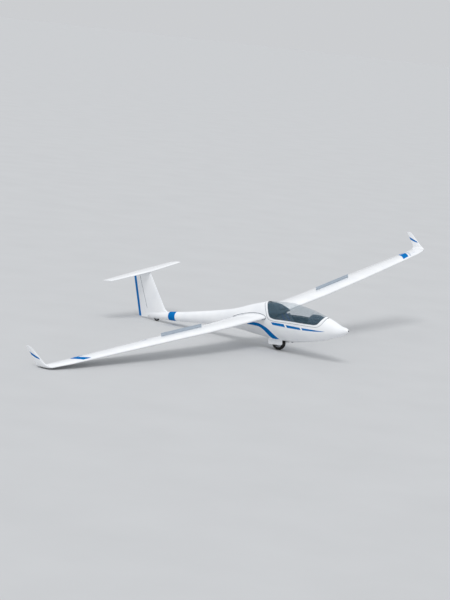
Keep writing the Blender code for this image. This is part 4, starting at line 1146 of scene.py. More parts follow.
def build_tip_films():
    """Blue bands on the outer wings and slashes on the winglets, each side as it shows."""
    # Each film: name, side, body, finish, its two edges as (x, fraction of the chord)
    bands = (
        ("prong_right", STARBOARD, "airframe", BLUE,
         ((6.32, 0.05), (6.39, 0.20), (6.43, 0.36), (6.42, 0.60)),
         ((6.56, 0.05), (6.63, 0.20), (6.66, 0.36), (6.64, 0.60))),
        ("band_right", STARBOARD, "airframe", BLUE,
         ((6.24, 0.72), (6.33, 0.680), (6.415, 0.615), (6.64, 0.60)),
         ((6.21, 0.745), (6.34, 0.745), (6.45, 0.745), (6.58, 0.745))),
        ("band_aft_right", STARBOARD, "aileron_right", BLUE,
         ((6.17, 0.80), (6.29, 0.80), (6.42, 0.80), (6.56, 0.80)),
         ((6.05, 0.985), (6.18, 0.985), (6.32, 0.985), (6.46, 0.985))),
        ("band_left", PORT, "airframe", BLUE,
         ((6.15, 0.05), (6.36, 0.38), (6.49, 0.62), (6.56, 0.745)),
         ((6.46, 0.08), (6.65, 0.38), (6.79, 0.62), (6.85, 0.745))),
        ("band_aft_left", PORT, "aileron_left", BLUE,
         ((6.59, 0.80), (6.65, 0.90), (6.70, 0.985)),
         ((6.87, 0.80), (6.88, 0.90), (6.885, 0.985))),
        ("stripe_left", PORT, "airframe", PALE_GREY,
         ((6.53, 0.06), (6.72, 0.38), (6.90, 0.70), (6.95, 0.80), (7.03, 0.985)),
         ((6.60, 0.06), (6.79, 0.38), (6.97, 0.70), (7.02, 0.80), (7.10, 0.985))),
    )
    for name, side, body, finish, one, other in bands:
        film(name, partial(wing_top, side=side), smooth_line(one, 6), smooth_line(other, 6),
             UPWARD, finish, 9, body)
    # The slash's two edges, as (rise, fraction of the chord)
    slash = [smooth_line(line, 8) for line in (((0.350, 0.985), (0.295, 0.55), (0.225, 0.10)),
                                               ((0.272, 0.985), (0.220, 0.55), (0.185, 0.10)))]
    for side, word in SIDES:
        for way, face in ((1, "inner"), (-1, "outer")):
            film(f"winglet_slash_{word}_{face}", winglet_skin(side, way), *slash,
                 (-side * way, 0.0, 0.0))


# Tail

def line_at(line, z):
    """The y of a slanted line, given by two (y, z) points, at a height."""
    (y0, z0), (y1, z1) = line
    return y0 + (y1 - y0) * (z - z0) / (z1 - z0)


def fin_size(z):
    """Leading edge y, full chord, hinge y and half thickness at the hinge."""
    leading = line_at(FIN_LEADING, z)
    chord = line_at(RUDDER_TRAILING, z) - leading
    hinge = line_at(RUDDER_AXIS, z)
    radius = foil_half((hinge - leading) / chord, FIN_THICKNESS) * chord + TRAILING_HALF
    return leading, chord, hinge, radius


def build_fin_and_rudder():
    """Fin with its foot on the boom, and the rudder in the cove of both."""
    rings = []
    for z in np.concatenate((np.linspace(0.05, 0.26, 16), np.linspace(0.29, FIN_TOP, 24))):
        leading, chord = fin_size(z)[:2]
        forward = monotone(FIN_FOOT[:, 0], FIN_FOOT[:, 1], z)
        ring = foil_ring(chord + forward, FIN_THICKNESS * chord / (chord + forward))
        rings.append(lying(ring + (leading - forward, 0.0), z))
    whole = loft("whole_fin", rings)
    fin = copy_of(whole, "fin_skin")
    low, high = RUDDER_HEIGHT
    flaps, coves = [], []
    for z, end in ((low, -RUN_GAP), (high, RUN_GAP)):
        leading, chord, hinge, radius = fin_size(z)
        flaps.append(lying(flap_ring(hinge, 0.0, radius, leading, chord, 0.0, FIN_THICKNESS, 0.0),
                           z))
        leading, chord, hinge, radius = fin_size(z + end)
        coves.append(lying(cove_ring(hinge, 0.0, radius + RUN_GAP, 0.5), z + end))
    rudder = loft("rudder_skin", between(*flaps, 24))
    cove = loft("rudder_cove", coves)
    boolean(fin, [fuselage_loft("boom_under_fin", -FIT_GAP, (4.0, 7.0)), copy_of(cove, "fin_cove"),
                  block("fin_shelf", (-0.1, 0.1), (ELEVATOR_AXIS_Y - 0.03, 7.0),
                        (RUDDER_SHELF, 1.3)),
                  block("fin_tail", (-0.1, 0.1), (RUDDER_HEAD_Y, 7.0), (high - 0.01, 1.3))])
    carry(fin, "fin", source=whole)
    discard(whole)
    cove.data.transform(PARKED)
    boolean(bpy.data.objects["fuselage_skin"], [cove])
    foot, head = (Vector((0.0, line_at(RUDDER_AXIS, z), z)) for z in (low, high))
    along = (head - foot).normalized()
    pinned(rudder, "rudder_pin_foot", foot - along * 0.014, foot + along * 0.016)
    pinned(rudder, "rudder_pin_head", head + along * 0.014, head - along * 0.016)
    carry(rudder, "rudder", "rudder")


def build_rudder_films():
    """On both sides, the dark seal down the fin just ahead of the rudder's hinge and the blue
    band down the rudder's trailing edge."""
    sealed = np.linspace(0.24, RUDDER_HEIGHT[1], 20)
    hinge, radius = np.array([fin_size(z)[2:] for z in sealed]).T
    banded = np.linspace(RUDDER_HEIGHT[0] + 0.01, RUDDER_HEIGHT[1] - 0.01, 24)
    seal = [points_of(sealed, hinge - radius - RUN_GAP - ahead) for ahead in SEAL_REACH]
    band = [points_of(banded, line_at(RUDDER_TRAILING, banded) - ahead) for ahead in (0.002, 0.085)]
    for name, edges, finish, rows, body in (("seal", seal, SEAL_GREY_AND_PAINTED_SHADE, 3, "airframe"),
                                            ("band", band, BLUE, 7, "rudder")):
        for side, word in SIDES:
            film(f"rudder_{name}_{word}", partial(fin_skin, side=side), *edges, (side, 0.0, 0.0),
                 finish, rows, body)


def stabilizer_at(x):
    """Leading edge y and chord of the stabilizer at a distance from the centre."""
    return [np.interp(abs(x), STABILIZER[:, 0], STABILIZER[:, column]) for column in (1, 2)]


def fin_skin(z, y, side):
    """Points of the side of fin and rudder by height and y."""
    leading, chord = fin_size(z)[:2]
    return points_of(side * foil_heights((y - leading) / chord, chord, FIN_THICKNESS)[0], y, z)


def build_stabilizer():
    """Stabilizer on its pad over the fin, and the elevator in one piece across it."""
    straight, reach = STABILIZER[1][0], STABILIZER[-1][0]
    tip = straight + (reach - straight) * np.sin(np.linspace(0.1, pi / 2, 8))
    half = np.concatenate((np.linspace(0.0, straight, 24), tip))
    rings = []
    for x in np.concatenate((-half[:0:-1], half)):
        leading, chord = stabilizer_at(x)
        past = max(abs(x) - straight, 0.0) / (reach - straight)
        thickness = STABILIZER_THICKNESS * (sqrt(1 - past * past) * 0.65 + 0.35)
        rings.append(standing(foil_ring(chord, thickness) + (leading, STABILIZER_Z), x))
    whole = loft("whole_stabilizer", rings)
    stabilizer = copy_of(whole, "stabilizer_skin")
    boolean(stabilizer, [block("fin_pad", (-0.026, 0.026), (6.22, 6.48),
                               (FIN_TOP + FIT_GAP, STABILIZER_Z))], "UNION")
    flaps, coves = [], []
    for x in (-ELEVATOR_HALF_SPAN, 0.0, ELEVATOR_HALF_SPAN):
        leading, chord = stabilizer_at(x)
        fraction = (ELEVATOR_AXIS_Y - leading) / chord
        radius = foil_half(fraction, STABILIZER_THICKNESS) * chord + TRAILING_HALF
        flaps.append(standing(flap_ring(ELEVATOR_AXIS_Y, STABILIZER_Z, radius, leading, chord,
                                        STABILIZER_Z, STABILIZER_THICKNESS, 0.0), x))
        coves.append(standing(cove_ring(ELEVATOR_AXIS_Y, STABILIZER_Z, radius + RUN_GAP, 0.3),
                              x * (1 + RUN_GAP / ELEVATOR_HALF_SPAN)))
    elevator = loft("elevator_skin", np.concatenate((between(*flaps[:2], 12),
                                                     between(*flaps[1:], 12)[1:])))
    boolean(stabilizer, [loft("elevator_bay", coves)])
    carry(stabilizer, "stabilizer", source=whole)
    discard(whole)
    for side, word in SIDES:
        end, inside = (Vector((side * (ELEVATOR_HALF_SPAN + way), ELEVATOR_AXIS_Y, STABILIZER_Z))
                       for way in (0.016, -0.016))
        pinned(elevator, f"elevator_pin_{word}", end, inside)
    carry(elevator, "elevator", "elevator")


# Landing gear and fittings

def across_at(centre):
    """The place of a wheel's part: its local Z lies along the axle, towards port."""
    return turned_at(centre, pi / 2, "Y")


def bolt(place, radius, height):
    """A hexagon head on its washer, standing on the local XY plane."""
    washer = ((1.3 * radius, 0.0), (1.3 * radius, 0.2 * height))
    head = ((radius, 0.2 * height), (radius, 0.85 * height), (0.85 * radius, height))
    return [turned("bolt_washer", washer, place, STEEL, 20),
            turned("bolt_head", head, place, STEEL, 6)]


def hub_bolts(place, count, start, reach, radius, height):
    """A ring of bolts on both faces of a hub's disc."""
    bolts = []
    for way in (0.0, pi):
        for number in range(count):
            turn = (Matrix.Rotation(way, 4, "X")
                    @ Matrix.Rotation(2 * pi * (number + start) / count, 4, "Z"))
            bolts += bolt(place @ turn @ Matrix.Translation((reach, 0.0, 0.006)), radius, height)
    return bolts


def tyre_section(size, grooves, depth):
    """Closed section of a tyre as (radius, height): grooved crown, ribbed walls and beads."""
    outer, half, rim = size
    middle = (outer + rim) / 2 + 0.25 * (outer - rim)
    rims = [groove + way * step for groove in grooves for way in (-1, 1) for step in (0.001, 0.002)]
    across = np.unique(np.concatenate((half * np.cos(np.linspace(0.0, pi, 49)), rims)).round(6))
    radius = middle + (outer - middle) * np.sqrt(np.clip(1 - (across / half) ** 2, 0.0, 1.0))
    for groove in grooves:
        radius -= depth * np.clip((0.0020 - abs(across - groove)) / 0.0010, 0.0, 1.0)
    t = np.linspace(0.05, 1.0, 24)
    wall = half * (1 - 0.28 * t) + 0.0012 * np.exp(-((t - 0.45) / 0.05) ** 2)
    wall += 0.0010 * np.exp(-((t - 0.80) / 0.04) ** 2)
    down = middle - t * (middle - rim)
    return np.vstack((points_of(radius, across), points_of(down, wall),
                      points_of(down, -wall)[::-1]))


def mirrored(side):
    """A closed section from its port half of (radius, height) points."""
    return side + [(radius, -height) for radius, height in side[::-1]]


def hub_section(size, bore):
    """Closed section of a wheel hub: two flanged rims, a thin disc and a boss."""
    seat, wide, web, boss = size[2] - FIT_GAP, size[1] * 0.72, 0.006, 1.9 * bore
    return mirrored([
        (seat, wide - 0.0015), (seat - 0.0015, wide), (seat - 0.0085, wide),
        (seat - 0.0100, wide - 0.0015), (seat - 0.0120, web + 0.0080),
        (seat - 0.0150, web + 0.0015), (seat - 0.0190, web), (boss + 0.0050, web),
        (boss + 0.0012, web + 0.0020), (boss, web + 0.0060), (boss, wide - 0.0015),
        (boss - 0.0015, wide), (bore + 0.0012, wide), (bore, wide - 0.0012)])


def bar_profile(radius, end, chamfer):
    """A bar with chamfered ends, as (radius, height) points."""
    return ((radius - chamfer, -end), (radius, chamfer - end), (radius, end - chamfer),
            (radius - chamfer, end))


def build_wheel(word, centre, size, axle, grooves, sides):
    """Tyre, hub and axle. The hub comes back unfinished."""
    radius, end = axle
    place = across_at(centre)
    tyre = turned(f"{word}_tyre_ribbed", tyre_section(size, grooves, 0.0025), place, TYRE, sides,
                  True)
    carry(tyre, f"{word}_tyre", f"{word}_wheel", 25.0)
    shaft = turned(f"{word}_axle_shaft", bar_profile(radius, end, 0.15 * radius), place, STEEL, 40)
    carry(shaft, f"{word}_axle")
    return turned(f"{word}_hub_cast", hub_section(size, radius + FIT_GAP), place, ALLOY, sides,
                  True)


def build_main_wheel():
    """Main wheel with lightening holes, bolts and valve, and the nuts of its axle."""
    place = across_at(MAIN_WHEEL)
    hub = build_wheel("main", MAIN_WHEEL, MAIN_TYRE, MAIN_AXLE, (-0.030, -0.011, 0.011, 0.030), 96)
    ring = 0.62 * MAIN_TYRE[2]
    away = Vector((0.02, 0.0, 0.0))
    for number in range(HUB_HOLES):
        angle = 2 * pi * number / HUB_HOLES
        spot = MAIN_WHEEL + Vector((0.0, ring * cos(angle), ring * sin(angle)))
        boolean(hub, [rod(f"hub_hole_{number}", spot - away, spot + away, 0.016, ALLOY, 44)])
    carry(hub, "main_hub", "main_wheel")
    bolts = hub_bolts(place, HUB_HOLES, 0.5, 0.036, 0.0045, 0.0055)
    stem = place @ Matrix.Rotation(0.35, 4, "Z") @ Matrix.Translation((0.0965, 0.0, 0.012))
    bolts.append(turned("valve", ((0.0040, 0.0), (0.0040, 0.008), (0.0028, 0.010), (0.0028, 0.020),
                                  (0.0034, 0.021), (0.0034, 0.027), (AXIS, 0.028)), stem, BRASS,
                        20))
    carry(joined("main_hub_fittings", bolts), body="main_wheel")

    nuts = []
    for way in (0.0, pi):
        end = (place @ Matrix.Rotation(way, 4, "X")
               @ Matrix.Translation((0.0, 0.0, FORK[1] + FIT_GAP)))
        for radius, low, high, sides in ((0.0185, 0.0, 0.0008, 32), (0.0160, 0.0009, 0.0034, 6)):
            profile = ((0.0103, low), (radius - 0.0008, low), (radius, low + 0.0003),
                       (radius, high - 0.0003), (radius - 0.0008, high), (0.0103, high))
            nuts.append(turned("axle_nut", profile, end, STEEL, sides, True))
    carry(joined("main_axle_nuts", nuts))


def build_fork():
    """Welded fork: crown, two legs with eyes, gussets, ribs and the bolts of the crown."""
    inner, outer, leg_half, eye, crown_half, crown = FORK
    y, z, roof = MAIN_WHEEL.y, MAIN_WHEEL.z, WELL[2][1] - FIT_GAP
    fork = block("fork_frame", (-outer, outer), (y - crown_half, y + crown_half),
                 (roof - crown, roof), STEEL)
    for side in (PORT, STARBOARD):
        leg = sorted((side * inner, side * outer))
        boolean(fork, [block("leg", leg, (y - leg_half, y + leg_half), (z, roof - crown / 2),
                             STEEL),
                       rod("eye", (leg[0], y, z), (leg[1], y, z), eye, STEEL, 48)], "UNION")
        near, far = side * (inner - 0.012), side * (inner + 0.001)
        corner = ((near, roof - crown + 0.001), (far, roof - crown + 0.001),
                  (far, roof - crown - 0.016))
        for low, high in ((y - 0.019, y - 0.013), (y + 0.013, y + 0.019)):
            boolean(fork, [loft("gusset", [[(a, b, c) for a, c in corner] for b in (low, high)],
                                STEEL)], "UNION")
    boolean(fork, [rod("fork_bore", (-0.1, y, z), (0.1, y, z), MAIN_AXLE[0] + FIT_GAP, STEEL, 48)])
    carry(rounded(fork, 0.0012, 2), "gear_fork")
    fittings = []
    for side in (PORT, STARBOARD):
        fittings.append(slab("leg_rib", sorted((side * outer, side * (outer + 0.0025))),
                             (y - 0.007, y + 0.007), (z + 0.030, roof - 0.030), STEEL, 0.001))
        for along in (-0.024, 0.024):
            below = turned_at((side * 0.040, y + along, roof - crown), pi, "X")
            fittings += bolt(below, 0.0060, 0.0060)
    carry(joined("fork_fittings", fittings))


def door_panel(name, turn, side, low, high, inward, start, stop, corner=0.0):
    """A bowed strip of a gear door between two offsets from its face."""
    depth, bulge = GEAR_DOOR[2:4]
    length = max(abs(y) for y in inward)
    rings = []
    for y in inward:
        past = max(abs(y) - (length - corner), 0.0)
        end = stop - (corner - sqrt(corner * corner - past * past)) / depth
        t = np.linspace(start, end, 25)
        bow = 4 * bulge * t * (1 - t)
        line = [(side * (b + high), -depth * u) for b, u in zip(bow, t)]
        line += [(side * (b + low), -depth * u) for b, u in zip(bow[::-1], t[::-1])]
        rings.append([turn @ Vector((a, y, b)) for a, b in line])
    return rounded(loft(name, rings), 0.0005, 2)


def build_gear_doors(skin):
    """Curved doors that hang open beside the wheel, with ribs inside and goose-neck arms."""
    hinge_x, hinge_z, _, _, thick, lean, half_length = GEAR_DOOR
    bend = half_length - DOOR_CORNER * (1 - np.sin(np.linspace(0.0, pi / 2, 6)))
    y = MAIN_WHEEL.y
    for side, word in SIDES:
        turn = turned_at((side * hinge_x, y, hinge_z), -radians(lean) * side, "Y")
        door = door_panel(f"door_panel_{word}", turn, side, 0.0, thick,
                          np.concatenate((-bend[::-1], bend)), 0.0, 1.0, DOOR_CORNER)
        ribs = [door_panel("rib", turn, side, -0.005, -0.0001, (along - 0.005, along + 0.005),
                           0.42, 0.97) for along in (-0.13, 0.0, 0.13)]
        ribs.append(door_panel("edge_rib", turn, side, -0.003, -0.0001,
                               (-half_length + 0.036, half_length - 0.036), 0.93, 0.985))
        boolean(door, [copy_of(skin, "door_top")])
        carry(door, f"gear_door_{word}")
        arms = [tube("arm", [(side * x, y + along, z) for x, z in DOOR_ARM], (0.0045,))
                for along in (-0.16, 0.16)]
        carry(joined(f"door_ribs_{word}", ribs))
        carry(joined(f"door_arms_{word}", arms))


def build_tail_wheel():
    """Tail wheel with the bolts of its hub."""
    hub = build_wheel("tail", TAIL_WHEEL, TAIL_TYRE, TAIL_AXLE, (-0.006, 0.006), 64)
    carry(hub, "tail_hub", "tail_wheel")
    bolts = hub_bolts(across_at(TAIL_WHEEL), 5, 0.0, 0.022, 0.0028, 0.0035)
    carry(joined("tail_hub_bolts", bolts), body="tail_wheel")


def build_tip_skid(side, word):
    """Half-moon rubbing skid bedded under the wing tip, held by two cross bolts."""
    x, front, rear, top, rim, depth, half = TIP_SKID
    middle, reach = (front + rear) / 2, (rear - front) / 2
    angles = np.linspace(0.0, pi, 41)
    outline = [(rear, TIP_SKID_Z + top), (front, TIP_SKID_Z + top)]
    outline += [(middle - reach * cos(a), TIP_SKID_Z + rim - depth * sin(a)) for a in angles]
    skid = rounded(prism(f"skid_{word}", outline, side * x - half, side * x + half, SKID), 0.0025)
    bed = [wing_ring(station, side) - (0.0, 0.0, FIT_GAP) for station in WING[-2:, 0]]
    boolean(skid, [loft(f"skid_bed_{word}", bed, SKID)])
    carry(skid, f"tip_skid_{word}")
    bolts = []
    for along in (-0.040, 0.040):
        for way in (PORT, STARBOARD):
            spot = (side * x + way * half, middle + along, TIP_SKID_Z + rim - 0.012)
            bolts += bolt(turned_at(spot, way * pi / 2, "Y"), 0.0040, 0.0035)
    carry(joined(f"skid_bolts_{word}", bolts))


def build_tow_hook(skin):
    """Hook plate under the floor with a lined eye."""
    half, (front, rear), (low, high) = TOW_HOOK
    eye_y, eye_z, eye = TOW_EYE
    angles = np.linspace(0.0, pi, 25)
    bow = [(eye_y + (rear - front) / 2 * cos(a), low + 0.020 - 0.020 * sin(a)) for a in angles]
    plate = rounded(prism("hook_plate", [(front, high), (rear, high)] + bow, -half, half, STEEL),
                    0.001, 2)
    boolean(plate, [rod("eye", (-0.1, eye_y, eye_z), (0.1, eye_y, eye_z), eye, STEEL, 40),
                    copy_of(skin, "hook_bed")])
    carry(plate, "tow_hook")
    profile = ((eye - 0.0002, -half), (eye - 0.0014, 0.0008 - half),
               (eye - 0.0014, half - 0.0008), (eye - 0.0002, half))
    carry(turned("hook_lining", profile, across_at((0.0, eye_y, eye_z)), ALLOY, 40, True))


def build_canopy_hinge():
    """The pin across the front of the canopy, with its two grooved end barrels."""
    pin, barrel, knuckle, ends = CANOPY_HINGE
    start, groove = knuckle + 0.002, barrel - 0.0008
    side = [(pin, start), (groove, start), (barrel, start + 0.0008), (barrel, start + 0.0045),
            (groove, start + 0.0050), (groove, start + 0.0060), (barrel, start + 0.0065),
            (barrel, ends - 0.0008), (groove, ends)]
    profile = [(radius, -height) for radius, height in side[::-1]] + side
    carry(turned("canopy_hinge_pin", profile, across_at(canopy_axis()), STEEL, 32),
          "canopy_hinge")


# Cockpit

def seat_path():
    """The smooth side view of the seat's face, the distance along it and its way out."""
    line = smooth_line(SEAT_FACE, 30)
    reach = np.append(0.0, np.cumsum(np.linalg.norm(np.diff(line, axis=0), axis=1)))
    return line, reach, -sideways(headings(line))


SEAT_LINE, SEAT_REACH, SEAT_OUT = seat_path()


def on_seat(s, x, rise):
    """Points by distance along the seat's face, across it and out from it."""
    y, z, out_y, out_z = (np.interp(s, SEAT_REACH, column)
                          for column in (*SEAT_LINE.T, *SEAT_OUT.T))
    return points_of(x, y + rise * out_y, z + rise * out_z)


def on_deck(s, x, rise):
    """Points by distance up the rear deck's slope, across it and out from it."""
    foot, head = np.array(DECK_SLOPE)
    along = (head - foot) / np.linalg.norm(head - foot)
    return points_of(x, foot[0] + s * along[0] - rise * along[1],
                     foot[1] + s * along[1] + rise * along[0])


def rim_of(s0, s1, half, steps=48):
    """Rounded rectangle of (distance, x) points, once round."""
    angles = 2 * pi * np.arange(steps + 1) / steps
    blunt = [np.sign(f) * abs(f) ** 0.35 for f in (np.cos(angles), np.sin(angles))]
    return (s0 + s1) / 2 + (s1 - s0) / 2 * blunt[0], half * blunt[1]


def pad(name, spot, s0, s1, half, low, high, finish):
    """A closed cushion form over a surface, with rounded corners and rims."""
    angles = 2 * pi * np.arange(56) / 56
    blunt = [np.sign(f) * abs(f) ** power
             for f, power in ((np.cos(angles), 0.35), (np.sin(angles), 0.7))]
    rings = []
    for share in np.sin(np.linspace(-pi / 2, pi / 2, 31)) * 0.9995:
        width = half * (1 - abs(share) ** 9) ** 0.4
        depth = (high - low) / 2 * (1 - abs(share) ** 24) ** 0.5
        rings.append(spot((s0 + s1) / 2 + share * (s1 - s0) / 2, width * blunt[0],
                          (low + high) / 2 + depth * blunt[1]))
    return loft(name, rings, finish)


def puffed(thing, cap, voxel=0.006):
    """Cloth under pressure fills a cushion form, and no point travels farther than the cap."""
    remesh = thing.modifiers.new("skin", "REMESH")
    remesh.mode = "VOXEL"
    remesh.voxel_size = voxel
    finished(thing)
    start = np.array([vert.co for vert in thing.data.vertices])
    cloth = thing.modifiers.new("fill", "CLOTH")
    cloth.settings.use_pressure = True
    cloth.settings.uniform_pressure_force = 4.0
    cloth.settings.effector_weights.gravity = 0.0
    cloth.point_cache.frame_start, cloth.point_cache.frame_end = 1, 20
    for step in range(1, 21):
        bpy.context.scene.frame_set(step)
    finished(thing)
    bpy.context.scene.frame_set(1)
    travel = np.array([vert.co for vert in thing.data.vertices]) - start
    far = np.linalg.norm(travel, axis=1, keepdims=True)
    place_points(thing, start + travel * np.minimum(1.0, cap / np.maximum(far, 1e-9)))
    thing.modifiers.new("smoother", "SUBSURF").levels = 1
    return finished(thing)


def place_points(thing, points):
    """Moves the points of a mesh."""
    thing.data.vertices.foreach_set("co", np.asarray(points, np.float32).ravel())
    thing.data.update()


def sewn(thing, path, channels, depth=0.004, width=0.0045):
    """Presses sewn channels into a cushion's upper side, across a path of (line, reach, out)."""
    line, reach, out = path
    points = np.array([vert.co for vert in thing.data.vertices])
    apart = ((points[:, None, 1:] - line[None]) ** 2).sum(axis=-1)
    nearest = apart.argmin(axis=1)
    s, way = reach[nearest], out[nearest]
    rise = ((points[:, 1:] - line[nearest]) * way).sum(axis=1)
    middle = (rise.max() + rise.min()) / 2
    press = sum(np.exp(-((s - channel) / width) ** 2) for channel in channels) * depth
    points[:, 1:] -= way * (press * (rise > middle))[:, None]
    place_points(thing, points)


def piping(name, spot, s0, s1, half, rise, radius=0.003):
    """The corded seam round a cushion."""
    s, x = rim_of(s0, s1, half)
    carry(tube(name, spot(s, x, rise), (radius,), PIPING, 10), sharp=80.0)


def build_seat():
    """Moulded bucket with a sunken middle, two cushions in it and the harness over them."""
    end = SEAT_REACH[-1]
    rear = ((1.24, -0.30), (1.84, -0.30), (1.84, 0.05), (1.98, 0.27))
    shell = prism("seat_bucket", list(rear) + [tuple(point) for point in SEAT_LINE[::-3]],
                  -SEAT_HALF, SEAT_HALF, TRIM)
    across = np.array((-0.172, 0.172, 0.178, -0.178))
    lift = np.array((-0.026, -0.026, 0.050, 0.050))
    trough = loft("seat_trough", [on_seat(np.full(4, s), across, lift)
                                  for s in np.linspace(0.022, end - 0.030, 60)], TRIM)
    shell = rounded(boolean(shell, [trough]), 0.007)
    boolean(shell, [cockpit_hollow(FIT_GAP)], "INTERSECT")
    carry(shell, "seat_pan")

    split = float(np.interp(1.675, SEAT_LINE[:, 0], SEAT_REACH))
    for name, s0, s1, lines in (("seat_cushion", 0.030, split - 0.004, 3),
                                ("back_cushion", split + 0.004, end - 0.038, 4)):
        cushion = puffed(pad(name, on_seat, s0 + 0.006, s1 - 0.006, 0.162, -0.0235, -0.006,
                             CUSHION), 0.007)
        spacing = (s1 - s0) / (lines + 1)
        sewn(cushion, (SEAT_LINE, SEAT_REACH, SEAT_OUT),
             [s0 + spacing * (i + 1) for i in range(lines)])
        carry(cushion, sharp=80.0)
        piping(f"{name}_piping", on_seat, s0 + 0.004, s1 - 0.004, 0.166, -0.012)
    build_harness(split, end)


def seat_place(s, x, rise):
    """A place on the seat's face, tilted with it: local Z points out of the seat."""
    spots = on_seat(np.array((s, s + 0.01)), x, rise)
    step = spots[1] - spots[0]
    return turned_at(spots[0], atan2(step[2], step[1]), "X")


def build_harness(split, end):
    """Shoulder and lap belts lying on the empty seat, meeting in a turning buckle."""
    buckle_s, over = split - 0.13, 0.0035
    shoulder_s = np.array((end - 0.004, end - 0.10, split + 0.12, split, split - 0.06,
                           buckle_s + 0.022))
    shoulder_x = np.array((0.080, 0.085, 0.075, 0.052, 0.035, 0.014))
    shoulder_rise = np.array((0.008, over, over, over + 0.002, over + 0.001, over + 0.003))
    lap_s = np.array((split - 0.03, split - 0.05, split - 0.09, buckle_s))
    lap_x = np.array((0.170, 0.140, 0.085, 0.026))
    lap_rise = np.array((0.004, 0.006, over, over + 0.003))
    for side, word in SIDES:
        lip = np.array([(side * 0.080, 1.940, 0.368), (side * 0.080, 1.922, 0.345)])
        path = on_seat(shoulder_s, side * shoulder_x, shoulder_rise)
        carry(strap(f"shoulder_belt_{word}", np.vstack((lip, path)), BELT_WIDTH))
        lap = on_seat(lap_s, side * lap_x, lap_rise)
        carry(strap(f"lap_belt_{word}", lap, BELT_WIDTH, (0.0, 1.0, 0.0)))
        for s, x in ((split + 0.14, 0.078), (split - 0.070, 0.112)):
            place = seat_place(s, side * x, over + 0.0016)
            plate = slab("adjuster", (-0.027, 0.027), (-0.014, 0.014), (0.0, 0.004), STEEL, 0.0012,
                         place=place)
            boolean(plate, [block("gap", (-0.021, 0.021), gap, (-0.01, 0.01), STEEL, place)
                            for gap in ((-0.009, -0.003), (0.003, 0.009))])
            carry(plate)
    place = seat_place(buckle_s, 0.0, over + 0.005)
    body = turned("buckle", ((0.030, 0.0), (0.032, 0.002), (0.032, 0.010), (0.029, 0.013),
                             (0.024, 0.0135), (0.0235, 0.012)), place, STEEL, 40)
    knob = turned("buckle_knob", ((0.0225, 0.0122), (0.0225, 0.0165), (0.0205, 0.0185),
                                  (AXIS, 0.0190)), place, KNOB_RED, 40)
    grip = slab("buckle_grip", (-0.020, 0.020), (-0.0035, 0.0035), (0.0185, 0.0235), KNOB_RED,
                0.001, place=place)
    carry(joined("harness_buckle", [body, knob, grip]))


def build_deck():
    """The rear deck with its belt slots and the headrest on its slope."""
    foot, head = np.array(DECK_SLOPE)
    crest = smooth_line(((2.30, 0.588), (2.21, 0.578), (2.13, 0.556), head), 8)
    outline = [(1.99, 0.0204), (2.40, 0.0204), (2.40, 0.590)] + [tuple(point) for point in crest]
    outline += [tuple(foot), (1.905, 0.393), (1.892, 0.380), (1.89, 0.350), (1.99, 0.320)]
    deck = rounded(prism("rear_deck", outline, -SHELF_HALF, SHELF_HALF, LINER), 0.0046)
    boolean(deck, [cockpit_hollow(FIT_GAP)], "INTERSECT")
    slot_x, slot_y = BELT_SLOT
    for side in (PORT, STARBOARD):
        boolean(deck, [block("belt_slot", (side * slot_x - 0.027, side * slot_x + 0.027),
                             (1.926, 1.938), (0.330, 0.50), BLACK)])
    carry(deck, "rear_shelf")
    lift = (slot_y - foot[0]) * (head[1] - foot[1]) / (head[0] - foot[0]) + foot[1]
    for side in (PORT, STARBOARD):
        rim = [(side * slot_x + a, slot_y + b) for a, b in ((-0.031, -0.010), (0.031, -0.010),
                                                            (0.031, 0.010), (-0.031, 0.010))]
        plate = rounded(loft("slot_plate", [[(x, y, lift + (y - slot_y) * 0.83 + z)
                                             for x, y in rim] for z in (0.0003, 0.0022)], BLACK),
                        0.0008, 2)
        boolean(plate, [block("slot", (side * slot_x - 0.026, side * slot_x + 0.026),
                              (1.927, 1.937), (0.33, 0.50), BLACK)])
        carry(plate)

    (s0, low), (s1, high) = HEADREST_REACH
    cushion = puffed(pad("headrest_pad", on_deck, s0 + 0.005, s1 - 0.005, HEADREST_HALF - 0.006,
                         low + 0.002, high - 0.007, CUSHION), 0.005)
    carry(cushion, "headrest", sharp=80.0)
    piping("headrest_piping", on_deck, s0 + 0.002, s1 - 0.002, HEADREST_HALF - 0.002,
           (low + high) / 2, 0.0025)


def hood_ring(y, scale=1.0, steps=40):
    """Section of the instrument hood: a flat base under a half ellipse."""
    bottom, top, half = [monotone(INSTRUMENT_HOOD[:, 0], INSTRUMENT_HOOD[:, column], y)
                         for column in (1, 2, 3)]
    middle = bottom + 0.45 * (top - bottom)
    angles = np.linspace(0.0, pi, steps + 1)
    x = np.concatenate(([half], half * np.cos(angles), [-half])) * scale
    z = np.concatenate(([bottom], middle + (top - middle) * np.sin(angles), [bottom]))
    return points_of(x, y, (z - middle) * scale + middle)


def facing_aft(x, y, z):
    """A place whose local Z points aft."""
    return turned_at((x, y, z), -pi / 2, "X")


